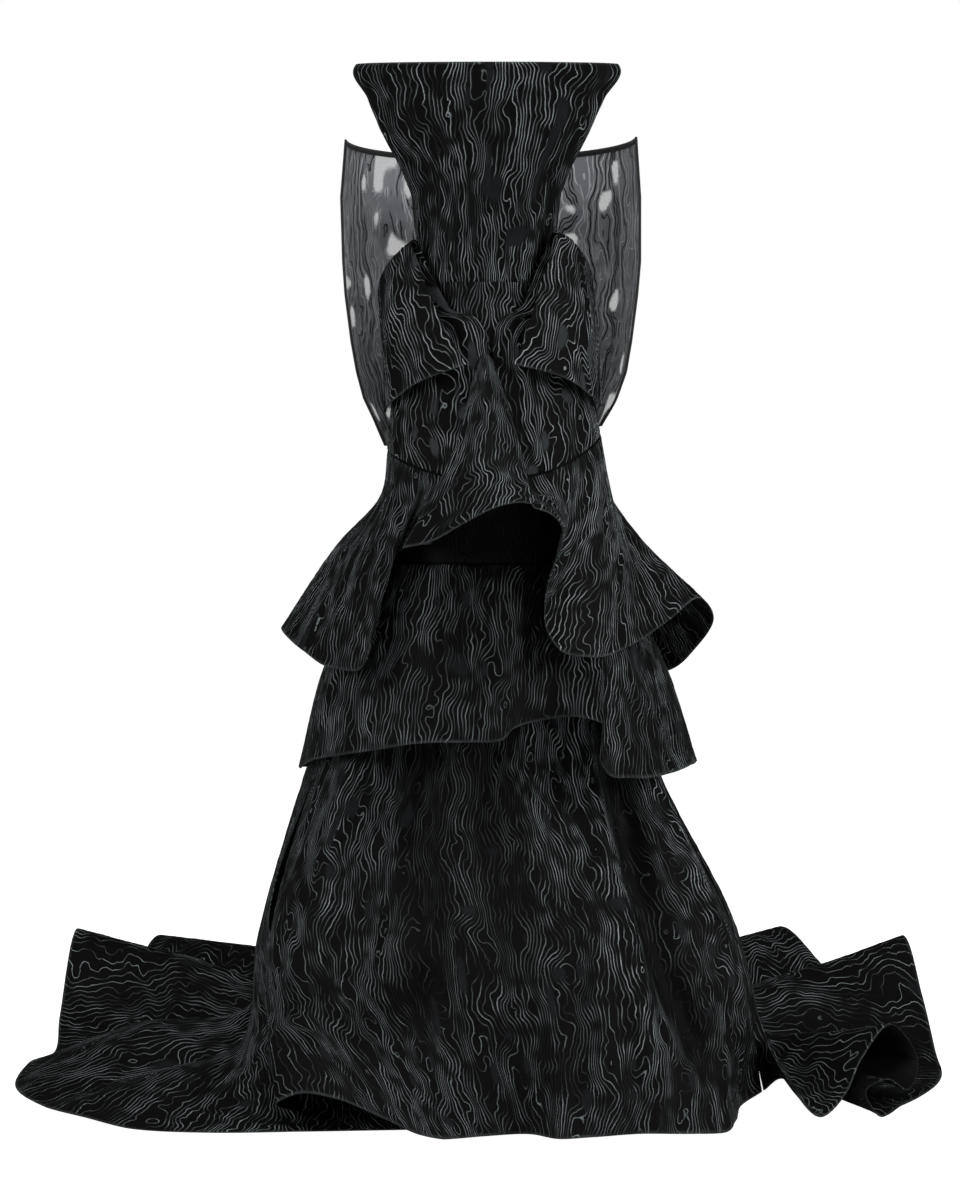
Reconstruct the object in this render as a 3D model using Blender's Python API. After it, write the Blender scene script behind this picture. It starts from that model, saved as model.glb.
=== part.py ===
"""Evening gown: fan bodice, sheer back shield, folded hip petals, peplum, middle tier and skirt with a train.

Run with: blender --background --python part.py
Metres, +Z up, the front faces -Y and the viewer's right is +X. Tables give heights above the floor, and
every solid is lowered by WAIST_HEIGHT, so that the origin is the waist, where the wearer holds the gown up.
"""

import math
from collections import namedtuple

import bpy
import numpy as np

# Driving sizes

WAIST_HEIGHT = 1.12
CLOTH = 0.0020
SHEER = 0.0012
SEAM = 0.0003
SEAM_AT_SIDE = 0.0009
LAYER = 0.0008
TAPE = 0.0010
TAPE_WIDTH = 0.007
TAPE_ANGLE = 2.2
FOLD_RADIUS = 0.0055
FLOOR_CLEARANCE = 0.0012

YOKE_TOP = 0.960
YOKE_BOTTOM = 0.775
BUST_SEAM = 1.183
MIDRIFF_SEAM = 1.081
BACK_TOP = 1.345
SHIELD_TOP_LEFT = 1.394
SHIELD_TOP_RIGHT = 1.398
SHIELD_BASE_LEFT = 0.948
SHIELD_BASE_RIGHT = 0.977
CENTRE_BACK = 179.92

# Where the shield's base is sewn on: over the petals at both ends and on the back between them

ShieldSeam = namedtuple("ShieldSeam", "theta angle away")
SHIELD_SEAM = ShieldSeam(
    (0.0, TAPE_ANGLE, 30.0, 42.0, 138.0, 150.0, 180.0 - TAPE_ANGLE, 180.0),
    (87.0, 90.6, 115.5, 129.0, 231.0, 244.5, 269.4, 273.0),
    (0.0064, 0.0064, 0.0056, 0.0012, 0.0012, 0.0056, 0.0064, 0.0064),
)

# The general figure that the close-fitting pieces follow, one row for each height

Figure = namedtuple("Figure", "height centre half_width front back")
FIGURE = (
    Figure(0.740, 0.004, 0.1720, 0.150, 0.158),
    Figure(0.775, 0.005, 0.1680, 0.147, 0.152),
    Figure(0.820, 0.007, 0.1620, 0.142, 0.145),
    Figure(0.860, 0.009, 0.1590, 0.138, 0.140),
    Figure(0.900, 0.009, 0.1590, 0.134, 0.139),
    Figure(0.950, 0.008, 0.1570, 0.127, 0.134),
    Figure(1.000, 0.006, 0.1460, 0.118, 0.124),
    Figure(1.050, 0.003, 0.1310, 0.108, 0.112),
    Figure(1.100, 0.000, 0.1170, 0.100, 0.100),
    Figure(1.150, -0.004, 0.1070, 0.095, 0.090),
    Figure(1.183, -0.006, 0.1020, 0.093, 0.085),
    Figure(1.245, -0.006, 0.1030, 0.098, 0.084),
    Figure(1.316, -0.006, 0.1100, 0.112, 0.086),
    Figure(1.345, -0.0065, 0.1210, 0.118, 0.090),
    Figure(1.400, -0.0070, 0.1480, 0.124, 0.095),
)

# The fan-shaped front of the bodice, from its bust seam up to the straight top edge

BodiceRow = namedtuple("BodiceRow", "height centre half_width front_y side_y")
BODICE = (
    BodiceRow(1.1833, -0.006, 0.1020, -0.0930, 0.000),
    BodiceRow(1.245, -0.006, 0.1030, -0.0980, 0.000),
    BodiceRow(1.282, -0.006, 0.1060, -0.1060, -0.004),
    BodiceRow(1.316, -0.006, 0.1100, -0.1120, -0.012),
    BodiceRow(1.345, -0.0065, 0.1210, -0.1180, -0.030),
    BodiceRow(1.364, -0.0064, 0.1310, -0.1210, -0.050),
    BodiceRow(1.387, -0.0070, 0.1440, -0.1240, -0.070),
    BodiceRow(1.418, -0.0070, 0.1585, -0.1260, -0.086),
    BodiceRow(1.447, -0.0062, 0.1715, -0.1270, -0.096),
    BodiceRow(1.489, -0.0043, 0.1920, -0.1280, -0.106),
    BodiceRow(1.494, -0.0040, 0.1890, -0.1280, -0.107),
)

# The sheer shield that stands off the back, as half ellipses open to the front

ShieldRow = namedtuple("ShieldRow", "height centre half_width edge_y back_y")
SHIELD = (
    ShieldRow(0.940, 0.0060, 0.1630, -0.020, 0.143),
    ShieldRow(0.955, 0.0040, 0.1635, -0.020, 0.145),
    ShieldRow(0.984, 0.0000, 0.1700, -0.030, 0.153),
    ShieldRow(1.017, 0.0004, 0.1858, -0.038, 0.163),
    ShieldRow(1.055, 0.0020, 0.1975, -0.043, 0.172),
    ShieldRow(1.100, 0.0018, 0.2052, -0.046, 0.180),
    ShieldRow(1.168, 0.0018, 0.2138, -0.048, 0.190),
    ShieldRow(1.216, 0.0022, 0.2175, -0.048, 0.195),
    ShieldRow(1.310, 0.0008, 0.2190, -0.045, 0.195),
    ShieldRow(1.398, 0.0014, 0.2130, -0.038, 0.185),
)

# The hip petals. Angles are in degrees from the centre front towards that side, and "away" is the
# distance off the figure. Each row is a guide up the petal, over its fold and down to the flap's hem.

PetalRow = namedtuple(
    "PetalRow",
    "base_angle base_height waist_angle waist_away rise_angle rise_height rise_away "
    "fold_angle fold_height fold_away flap_angle flap_height flap_away hem_angle hem_height hem_away",
)
LEFT_PETAL = (
    PetalRow(1.2, 0.897, 1.2, 0.0025, 30, 1.150, 0.008, 58, 1.240, 0.014, 36, 1.150, 0.026, 14, 1.062, 0.026),
    PetalRow(14, 0.900, 14, 0.0028, 41, 1.145, 0.014, 68, 1.224, 0.026, 46, 1.140, 0.042, 26, 1.050, 0.034),
    PetalRow(28, 0.904, 28, 0.0040, 54, 1.135, 0.022, 79, 1.203, 0.038, 60, 1.125, 0.050, 42, 1.036, 0.030),
    PetalRow(48, 0.918, 48, 0.0070, 70, 1.120, 0.026, 90, 1.180, 0.044, 76, 1.105, 0.044, 60, 1.016, 0.022),
    PetalRow(70, 0.933, 72, 0.0080, 88, 1.100, 0.026, 103, 1.150, 0.040, 92, 1.085, 0.036, 80, 1.005, 0.016),
    PetalRow(98, 0.945, 100, 0.0060, 108, 1.075, 0.018, 116, 1.110, 0.026, 108, 1.060, 0.026, 99, 0.998, 0.016),
)
RIGHT_PETAL = (
    PetalRow(1.2, 0.897, 1.2, 0.0025, 28, 1.155, 0.008, 54, 1.252, 0.014, 31, 1.150, 0.026, 12, 1.062, 0.026),
    PetalRow(14, 0.902, 14, 0.0028, 40, 1.150, 0.014, 65, 1.240, 0.026, 43, 1.145, 0.042, 26, 1.053, 0.034),
    PetalRow(28, 0.910, 28, 0.0040, 54, 1.140, 0.022, 78, 1.214, 0.038, 58, 1.125, 0.050, 42, 1.040, 0.032),
    PetalRow(48, 0.932, 48, 0.0070, 70, 1.125, 0.026, 90, 1.184, 0.044, 75, 1.105, 0.046, 60, 1.018, 0.024),
    PetalRow(70, 0.955, 72, 0.0080, 88, 1.105, 0.026, 103, 1.155, 0.040, 92, 1.085, 0.036, 79, 1.007, 0.017),
    PetalRow(98, 0.974, 100, 0.0060, 108, 1.080, 0.018, 116, 1.115, 0.026, 108, 1.062, 0.026, 99, 1.008, 0.016),
)

# The peplum. Each row is a guide from its top edge on the figure, past the hip, to its hem, and "flare"
# pushes it out on the way.

PeplumRow = namedtuple("PeplumRow", "angle top_height hip_away flare hem_x hem_y hem_height")
PEPLUM_LEFT = (
    PeplumRow(-92.0, 0.943, 0.006, 0.008, -0.313, 0.040, 0.677),
    PeplumRow(-78.0, 0.936, 0.007, 0.008, -0.272, -0.100, 0.650),
    PeplumRow(-63.0, 0.926, 0.009, 0.008, -0.222, -0.190, 0.629),
    PeplumRow(-52.0, 0.917, 0.009, 0.012, -0.183, -0.222, 0.630),
    PeplumRow(-44.0, 0.911, 0.006, 0.009, -0.170, -0.200, 0.655),
    PeplumRow(-37.0, 0.906, 0.004, -0.006, -0.184, -0.134, 0.722),
    PeplumRow(-30.0, 0.902, 0.003, 0.004, -0.172, -0.100, 0.766),
    PeplumRow(-22.0, 0.899, 0.003, 0.004, -0.130, -0.106, 0.795),
    PeplumRow(-14.0, 0.897, 0.003, 0.004, -0.085, -0.185, 0.806),
)
PEPLUM_RIGHT = (
    PeplumRow(13.0, 0.898, 0.003, 0.004, 0.0598, -0.2805, 0.857),
    PeplumRow(20.0, 0.901, 0.004, 0.004, 0.081, -0.268, 0.850),
    PeplumRow(28.0, 0.907, 0.006, 0.004, 0.100, -0.245, 0.832),
    PeplumRow(36.0, 0.915, 0.006, 0.004, 0.101, -0.220, 0.800),
    PeplumRow(43.0, 0.922, 0.005, 0.004, 0.087, -0.195, 0.763),
    PeplumRow(50.0, 0.931, 0.005, 0.012, 0.079, -0.187, 0.727),
    PeplumRow(57.0, 0.939, 0.007, 0.012, 0.079, -0.200, 0.687),
    PeplumRow(64.0, 0.946, 0.009, 0.010, 0.101, -0.215, 0.654),
    PeplumRow(72.0, 0.953, 0.010, 0.010, 0.143, -0.198, 0.645),
    PeplumRow(81.0, 0.960, 0.009, 0.010, 0.198, -0.128, 0.656),
    PeplumRow(90.0, 0.967, 0.007, -0.008, 0.262, -0.035, 0.690),
    PeplumRow(97.0, 0.972, 0.006, -0.014, 0.315, 0.045, 0.722),
)
PEPLUM_BACK = (
    PeplumRow(97.0, 0.972, 0.006, -0.014, 0.315, 0.045, 0.722),
    PeplumRow(109.0, 0.969, 0.006, -0.012, 0.341, 0.110, 0.691),
    PeplumRow(123.0, 0.965, 0.007, -0.006, 0.319, 0.190, 0.640),
    PeplumRow(137.0, 0.962, 0.008, 0.012, 0.283, 0.262, 0.602),
    PeplumRow(151.0, 0.960, 0.006, 0.012, 0.200, 0.315, 0.592),
    PeplumRow(166.0, 0.958, 0.006, 0.012, 0.105, 0.328, 0.600),
    PeplumRow(180.0, 0.956, 0.008, 0.012, 0.000, 0.362, 0.582),
    PeplumRow(194.0, 0.954, 0.006, 0.012, -0.100, 0.330, 0.600),
    PeplumRow(208.0, 0.952, 0.006, 0.012, -0.190, 0.308, 0.604),
    PeplumRow(223.0, 0.950, 0.008, 0.012, -0.250, 0.235, 0.636),
    PeplumRow(240.0, 0.947, 0.006, 0.012, -0.300, 0.140, 0.668),
    PeplumRow(268.0, 0.943, 0.006, 0.008, -0.313, 0.040, 0.677),
)
HIP_HEIGHT = 0.885
FLARE_SHARE = 0.4

# The godet set into the centre front, a cone that lifts the peplum's hem into an arch

GodetRow = namedtuple("GodetRow", "top_x top_y top_height mid_x mid_y mid_height hem_x hem_y hem_height")
GODET = (
    GodetRow(-0.0200, -0.1088, 1.066, -0.0506, -0.1540, 0.943, -0.124, -0.2020, 0.800),
    GodetRow(-0.0150, -0.1084, 1.074, -0.0360, -0.1700, 0.943, -0.085, -0.2400, 0.809),
    GodetRow(-0.0090, -0.1084, 1.078, -0.0120, -0.1780, 0.943, -0.030, -0.2790, 0.839),
    GodetRow(-0.0030, -0.1089, 1.077, 0.0130, -0.1760, 0.945, 0.009, -0.2910, 0.858),
    GodetRow(0.0020, -0.1098, 1.072, 0.0320, -0.1650, 0.945, 0.038, -0.2910, 0.864),
    GodetRow(0.0060, -0.1110, 1.064, 0.0430, -0.1500, 0.943, 0.0572, -0.2830, 0.8622),
)

# The middle tier, from the yoke to its hem, bowed out by "bow" half-way down

TierRow = namedtuple("TierRow", "angle hem_x hem_y hem_height bow")
TIER_FRONT = (
    TierRow(-90.0, -0.284, 0.020, 0.468, 0.022),
    TierRow(-75.0, -0.262, -0.085, 0.487, 0.024),
    TierRow(-58.0, -0.215, -0.165, 0.503, 0.019),
    TierRow(-42.0, -0.160, -0.215, 0.515, 0.012),
    TierRow(-25.0, -0.095, -0.242, 0.527, 0.012),
    TierRow(-8.0, -0.030, -0.248, 0.528, 0.010),
    TierRow(8.0, 0.015, -0.243, 0.530, 0.010),
    TierRow(18.0, 0.038, -0.214, 0.546, 0.008),
    TierRow(30.0, 0.078, -0.194, 0.556, 0.006),
    TierRow(42.0, 0.128, -0.190, 0.559, 0.006),
    TierRow(50.0, 0.162, -0.200, 0.548, 0.008),
    TierRow(56.0, 0.168, -0.222, 0.522, 0.003),
    TierRow(61.0, 0.154, -0.238, 0.503, 0.012),
    TierRow(66.0, 0.164, -0.252, 0.485, 0.014),
    TierRow(73.0, 0.203, -0.215, 0.475, 0.016),
    TierRow(82.0, 0.265, -0.115, 0.474, 0.018),
    TierRow(92.0, 0.308, 0.010, 0.480, 0.018),
)
TIER_BACK = (
    TierRow(92.0, 0.308, 0.010, 0.480, 0.018),
    TierRow(114.0, 0.300, 0.130, 0.462, 0.016),
    TierRow(134.0, 0.245, 0.225, 0.452, 0.014),
    TierRow(154.0, 0.150, 0.270, 0.458, 0.012),
    TierRow(180.0, 0.000, 0.300, 0.444, 0.012),
    TierRow(206.0, -0.140, 0.270, 0.456, 0.012),
    TierRow(228.0, -0.232, 0.215, 0.456, 0.014),
    TierRow(248.0, -0.282, 0.120, 0.462, 0.024),
    TierRow(259.0, -0.2885, 0.072, 0.466, 0.022),
    TierRow(270.0, -0.284, 0.020, 0.468, 0.022),
)

# The long skirt. "ripple" pushes a flute out or in at the low ring, and the hem lies on the floor.

SkirtRow = namedtuple("SkirtRow", "angle ripple hem_x hem_y hem_height")
SKIRT_FRONT = (
    SkirtRow(-72.0, -0.004, -0.262, -0.300, 0.0160),
    SkirtRow(-68.0, 0.006, -0.297, -0.318, 0.0300),
    SkirtRow(-63.0, 0.016, -0.262, -0.352, 0.0540),
    SkirtRow(-55.0, 0.018, -0.206, -0.384, 0.0520),
    SkirtRow(-44.0, 0.006, -0.142, -0.404, 0.0290),
    SkirtRow(-33.0, -0.012, -0.096, -0.412, 0.0100),
    SkirtRow(-22.0, 0.002, -0.058, -0.408, 0.0025),
    SkirtRow(-11.0, 0.008, -0.009, -0.390, 0.0025),
    SkirtRow(-1.0, -0.002, 0.052, -0.377, 0.0025),
    SkirtRow(9.0, 0.008, 0.090, -0.407, 0.0025),
    SkirtRow(20.0, 0.022, 0.139, -0.396, 0.0025),
    SkirtRow(32.0, 0.004, 0.205, -0.374, 0.0025),
    SkirtRow(44.0, -0.016, 0.270, -0.374, 0.0025),
    SkirtRow(55.0, 0.004, 0.318, -0.367, 0.0025),
    SkirtRow(64.0, 0.012, 0.340, -0.300, 0.0025),
    SkirtRow(71.0, 0.010, 0.358, -0.190, 0.0025),
    SkirtRow(77.0, 0.008, 0.398, -0.085, 0.0025),
)
Ring = namedtuple("Ring", "height centre half_width front back")
SKIRT_TOP = Ring(YOKE_BOTTOM - SEAM, 0.005, 0.1672, 0.1462, 0.1512)
SKIRT_KNEE = Ring(0.480, -0.012, 0.2560, 0.1900, 0.2450)
SKIRT_LOW = Ring(0.220, 0.011, 0.3520, 0.3250, 0.3700)

# Large soft folds that cross the guides: ridges where "rise" is above nothing and troughs where it is below

Fold = namedtuple("Fold", "from_x from_y from_height to_x to_y to_height rise width")
SKIRT_FOLDS = (
    Fold(-0.120, -0.310, 0.250, -0.290, -0.290, 0.110, 0.024, 0.040),
    Fold(-0.190, -0.350, 0.100, -0.080, -0.350, 0.190, -0.010, 0.040),
)

# The train. Each row is a fold or a valley: it leaves the skirt at "foot", passes "mid" and ends in the hem.

TrainRow = namedtuple("TrainRow", "angle ripple foot_x foot_y foot_height mid_height hem_x hem_y hem_height")
TRAIN_LEFT = (
    TrainRow(-72.3, -0.0055, -0.1500, -0.200, 0.050, 0.020, -0.090, -0.3420, 0.0025),
    TrainRow(-77.0, 0.000, -0.270, -0.240, 0.060, 0.014, -0.262, -0.3560, 0.0025),
    TrainRow(-83.0, 0.004, -0.345, -0.200, 0.065, 0.020, -0.385, -0.3630, 0.0025),
    TrainRow(-88.0, 0.000, -0.362, -0.150, 0.060, 0.026, -0.480, -0.3450, 0.0025),
    TrainRow(-93.0, 0.006, -0.368, -0.110, 0.075, 0.050, -0.568, -0.2750, 0.0060),
    TrainRow(-99.0, 0.000, -0.366, -0.060, 0.065, 0.034, -0.650, -0.1650, 0.0025),
    TrainRow(-105.0, 0.004, -0.363, -0.010, 0.112, 0.078, -0.703, -0.0300, 0.0060),
    TrainRow(-111.0, 0.000, -0.355, 0.045, 0.105, 0.080, -0.699, 0.0700, 0.0160),
    TrainRow(-117.0, -0.004, -0.345, 0.100, 0.070, 0.018, -0.678, 0.2100, 0.0100),
    TrainRow(-124.0, 0.002, -0.330, 0.160, 0.095, 0.070, -0.688, 0.3300, 0.0460),
    TrainRow(-131.0, 0.008, -0.318, 0.225, 0.132, 0.142, -0.674, 0.4400, 0.1680),
    TrainRow(-138.0, 0.004, -0.280, 0.262, 0.110, 0.090, -0.655, 0.5200, 0.0900),
    TrainRow(-145.0, -0.004, -0.235, 0.300, 0.085, 0.020, -0.630, 0.6300, 0.0100),
    TrainRow(-152.0, 0.004, -0.190, 0.335, 0.128, 0.122, -0.577, 0.7500, 0.1120),
    TrainRow(-160.0, -0.002, -0.135, 0.350, 0.090, 0.030, -0.490, 0.8700, 0.0120),
    TrainRow(-170.0, 0.004, -0.070, 0.372, 0.120, 0.075, -0.290, 0.9700, 0.0400),
    TrainRow(-CENTRE_BACK, -0.002, -0.0005, 0.380, 0.095, 0.024, -0.0005, 1.0400, 0.0025),
)
TRAIN_RIGHT = (
    TrainRow(77.3, 0.0080, 0.3830, -0.079, 0.085, 0.042, 0.3995, -0.0820, 0.0040),
    TrainRow(82.0, 0.010, 0.398, -0.064, 0.095, 0.058, 0.4180, -0.1450, 0.0340),
    TrainRow(87.0, 0.002, 0.401, -0.036, 0.072, 0.024, 0.4660, -0.2620, 0.0040),
    TrainRow(91.0, 0.000, 0.397, -0.012, 0.066, 0.034, 0.5040, -0.2080, 0.0250),
    TrainRow(95.0, 0.002, 0.398, 0.006, 0.073, 0.060, 0.5350, -0.1550, 0.0680),
    TrainRow(99.0, 0.004, 0.397, 0.026, 0.082, 0.082, 0.5850, -0.1050, 0.1060),
    TrainRow(103.0, 0.002, 0.394, 0.046, 0.076, 0.070, 0.6230, -0.0900, 0.0560),
    TrainRow(107.0, 0.000, 0.390, 0.064, 0.068, 0.048, 0.6020, -0.1450, 0.0170),
    TrainRow(110.0, 0.000, 0.386, 0.082, 0.062, 0.036, 0.5660, -0.1850, 0.0400),
    TrainRow(113.0, 0.000, 0.381, 0.098, 0.056, 0.026, 0.5320, -0.2200, 0.0300),
    TrainRow(117.0, 0.000, 0.374, 0.116, 0.052, 0.018, 0.5420, -0.2640, 0.0075),
    TrainRow(121.0, -0.002, 0.365, 0.136, 0.052, 0.013, 0.5880, -0.1850, 0.0045),
    TrainRow(125.0, -0.002, 0.354, 0.158, 0.058, 0.014, 0.6700, 0.0000, 0.0030),
    TrainRow(129.0, 0.002, 0.342, 0.180, 0.080, 0.050, 0.6960, 0.2200, 0.0160),
    TrainRow(133.0, 0.006, 0.330, 0.205, 0.105, 0.100, 0.6940, 0.3300, 0.0760),
    TrainRow(137.0, 0.008, 0.318, 0.230, 0.112, 0.116, 0.6800, 0.4450, 0.1560),
    TrainRow(142.0, 0.002, 0.290, 0.258, 0.100, 0.050, 0.6400, 0.5600, 0.0300),
    TrainRow(148.0, -0.004, 0.250, 0.292, 0.085, 0.030, 0.5760, 0.6850, 0.0700),
    TrainRow(154.0, 0.004, 0.205, 0.325, 0.105, 0.120, 0.5180, 0.7500, 0.1260),
    TrainRow(161.0, -0.002, 0.140, 0.350, 0.090, 0.030, 0.4200, 0.8700, 0.0120),
    TrainRow(170.0, 0.004, 0.070, 0.372, 0.120, 0.075, 0.2500, 0.9700, 0.0400),
    TrainRow(CENTRE_BACK, -0.002, 0.0005, 0.380, 0.095, 0.024, 0.0005, 1.0400, 0.0025),
)

TRAIN_RIGHT_STEPS = [2] * 12 + [1] * 9

# Finishes

Finish = namedtuple("Finish", "name colour roughness")
CLOQUE = Finish("black_cloque_jacquard", (0.016, 0.018, 0.019), 0.62)
SHEER_CLOQUE = Finish("sheer_grey_cloque", (0.09, 0.095, 0.10), 0.60)
BINDING = Finish("black_binding_tape", (0.010, 0.010, 0.011), 0.55)


def clear_scene():
    for obj in list(bpy.data.objects):
        bpy.data.objects.remove(obj, do_unlink=True)


def material(finish):
    found = bpy.data.materials.get(finish.name)
    if found:
        return found
    made = bpy.data.materials.new(finish.name)
    made.use_nodes = True
    shader = made.node_tree.nodes["Principled BSDF"]
    shader.inputs["Base Color"].default_value = (*finish.colour, 1.0)
    shader.inputs["Roughness"].default_value = finish.roughness
    shader.inputs["Metallic"].default_value = 0.0
    made.diffuse_color = (*finish.colour, 1.0)
    return made


def spline(points, steps):
    """A smooth curve through the rows of points, with steps samples in each gap (a number or a list)."""
    points = np.asarray(points, float)
    gaps = len(points) - 1
    steps = [steps] * gaps if isinstance(steps, int) else list(steps)
    flat = points.reshape(len(points), -1)
    chord = np.maximum(np.linalg.norm(np.diff(flat, axis=0), axis=1), 1e-6)
    slope = np.diff(flat, axis=0) / chord[:, None]
    tangent = np.empty_like(flat)
    tangent[0] = slope[0]
    tangent[-1] = slope[-1]
    before, after = chord[:-1, None], chord[1:, None]
    tangent[1:-1] = (slope[:-1] * after + slope[1:] * before) / (before + after)
    found = []
    for gap in range(gaps):
        t = (np.arange(steps[gap]) / steps[gap])[:, None]
        h = chord[gap]
        found.append(
            (2 * t**3 - 3 * t**2 + 1) * flat[gap]
            + (t**3 - 2 * t**2 + t) * h * tangent[gap]
            + (3 * t**2 - 2 * t**3) * flat[gap + 1]
            + (t**3 - t**2) * h * tangent[gap + 1]
        )
    found.append(flat[-1:])
    return np.concatenate(found).reshape(-1, *points.shape[1:])


def loft(guides, across, along):
    """A grid of points over guides of shape (guide, control point, 3)."""
    guides = np.asarray(guides, float)
    lines = np.stack([spline(guide, along) for guide in guides])
    columns = [spline(lines[:, column], across) for column in range(lines.shape[1])]
    return np.stack(columns, axis=1)


def raise_fold(grid, fold):
    """Pushes the grid out along a soft ridge that runs from one place to another and fades at both ends."""
    start = np.array((fold.from_x, fold.from_y, fold.from_height))
    path = np.array((fold.to_x, fold.to_y, fold.to_height)) - start
    share = ((grid - start) @ path) / (path @ path)
    nearest = start + np.clip(share, 0.0, 1.0)[..., None] * path
    distance = np.linalg.norm(grid - nearest, axis=2)
    fade = np.clip(np.minimum(share + 0.25, 1.35 - share) / 0.35, 0.0, 1.0)
    lift = fold.rise * np.exp(-((distance / fold.width) ** 2)) * fade**2 * (3 - 2 * fade)
    return grid + outward_normals(grid) * lift[..., None]


def figure_row(height):
    heights = [row.height for row in FIGURE]
    return [
        np.interp(height, heights, [row[column] for row in FIGURE])
        for column in range(1, 5)
    ]


def on_figure(angle, height, away):
    """A point "away" off the figure. The angle is from the centre front, positive to the viewer's right."""
    centre, half_width, front, back = figure_row(height)
    turn = math.radians(angle)
    depth = front if math.cos(turn) > 0 else back
    return (
        centre + math.sin(turn) * (half_width + away),
        -math.cos(turn) * (depth + away),
        height,
    )


def on_ring(ring, angle, away):
    turn = math.radians(angle)
    depth = ring.front if math.cos(turn) > 0 else ring.back
    return (
        ring.centre + math.sin(turn) * (ring.half_width + away),
        -math.cos(turn) * (depth + away),
        ring.height,
    )


def grid_normals(grid, closed):
    if closed:
        across = np.roll(grid, -1, axis=0) - np.roll(grid, 1, axis=0)
    else:
        across = np.gradient(grid, axis=0)
    along = np.gradient(grid, axis=1)
    normal = np.cross(across, along)
    length = np.linalg.norm(normal, axis=2, keepdims=True)
    return normal / np.maximum(length, 1e-12)


def add_solid(name, points, faces, finish):
    points = np.asarray(points, float) - (0.0, 0.0, WAIST_HEIGHT)
    mesh = bpy.data.meshes.new(name)
    mesh.from_pydata(points.tolist(), [], faces)
    mesh.validate()
    mesh.materials.append(material(finish))
    obj = bpy.data.objects.new(name, mesh)
    bpy.context.scene.collection.objects.link(obj)
    return obj


def signed_volume(points, faces):
    total = 0.0
    for face in faces:
        first = points[face[0]]
        for second, third in zip(face[1:-1], face[2:]):
            total += float(np.dot(first, np.cross(points[second], points[third])))
    return total


def outward_normals(grid, closed=False):
    """Normals of the grid, turned so that they point away from the figure along its first edge."""
    normal = grid_normals(grid, closed)
    outward = grid[:, 0] * (1.0, 1.0, 0.0)
    return -normal if float((normal[:, 0] * outward).sum()) < 0 else normal


def halves(grid, corners):
    """Two triangles for four places of the grid, split along the shorter diagonal, the same on both faces."""
    a, b, c, d = corners
    spots = [grid[row % len(grid), column] for row, column in corners]
    if np.linalg.norm(spots[2] - spots[0]) <= np.linalg.norm(spots[3] - spots[1]):
        return ((a, b, c), (a, c, d))
    return ((a, b, d), (b, c, d))


def wall(name, grid, thickness, finish, closed=False, normal=None):
    """A closed cloth wall: the grid is its outer face, and the inner one lies thickness towards the figure."""
    rows, columns = grid.shape[:2]
    if normal is None:
        normal = outward_normals(grid, closed)
    inner = grid - normal * thickness
    inner[..., 2] = np.maximum(inner[..., 2], FLOOR_CLEARANCE)
    points = np.concatenate([grid.reshape(-1, 3), inner.reshape(-1, 3)])
    offset = rows * columns

    def at(row, column, side):
        return side * offset + (row % rows) * columns + column

    faces = []
    for row in range(rows if closed else rows - 1):
        for column in range(columns - 1):
            corners = ((row, column), (row + 1, column), (row + 1, column + 1), (row, column + 1))
            for triangle in halves(grid, corners):
                faces.append([at(*corner, 0) for corner in triangle])
                faces.append([at(*corner, 1) for corner in reversed(triangle)])
        for column in (0, columns - 1):
            rim = [at(row + 1, column, 0), at(row, column, 0), at(row, column, 1), at(row + 1, column, 1)]
            faces.append(rim if column == 0 else rim[::-1])
    if not closed:
        for column in range(columns - 1):
            for row in (0, rows - 1):
                rim = [at(row, column, 0), at(row, column + 1, 0), at(row, column + 1, 1), at(row, column, 1)]
                faces.append(rim if row == 0 else rim[::-1])
    if signed_volume(points, faces) < 0:
        faces = [face[::-1] for face in faces]
    return add_solid(name, points, faces, finish)


def bodice_front():
    turns = np.radians(np.linspace(-90.0, 90.0, 19))
    rows = spline([row[:] for row in BODICE], [2, 1, 1, 1, 1, 1, 1, 1, 2, 1])
    grid = [
        [
            (centre + half_width * math.sin(turn), side_y + (front_y - side_y) * math.cos(turn), height)
            for height, centre, half_width, front_y, side_y in rows
        ]
        for turn in turns
    ]
    return wall("bodice_front", np.array(grid), CLOTH, CLOQUE)


def figure_band(name, angles, heights, away, closed=False):
    grid = [[on_figure(angle, height, away) for height in heights] for angle in angles]
    return wall(name, np.array(grid), CLOTH, CLOQUE, closed)


def bodice_back():
    turns = np.radians(np.linspace(90.0, 270.0, 19))
    grid = []
    for turn in turns:
        column = []
        for height in (YOKE_TOP + SEAM, 1.000, 1.050, 1.100, 1.150, 1.200, 1.245, 1.282, 1.316, BACK_TOP):
            centre, half_width, _, back = figure_row(height)
            side = np.interp(height, [1.245, 1.282, 1.316, 1.345], [0.0, -0.004, -0.012, -0.030])
            tuck = np.interp(height, [1.0, 1.05], [1.5 * LAYER, 0.0])
            column.append(
                (
                    centre + (half_width - tuck) * math.sin(turn),
                    side + SEAM_AT_SIDE - (back - tuck - side) * math.cos(turn),
                    height,
                )
            )
        grid.append(column)
    return wall("bodice_back", np.array(grid), CLOTH, CLOQUE)


def midriff_front():
    angles = np.linspace(-90.0, 90.0, 19)
    heights = np.linspace(MIDRIFF_SEAM, BUST_SEAM, 4)
    return figure_band("midriff_front", angles, heights, 0.0)


def hip_yoke():
    angles = np.arange(0.0, 360.0, 7.5)
    heights = (YOKE_BOTTOM, 0.82, 0.86, 0.90, 0.93, YOKE_TOP)
    return figure_band("hip_yoke", angles, heights, -LAYER, closed=True)


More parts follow.
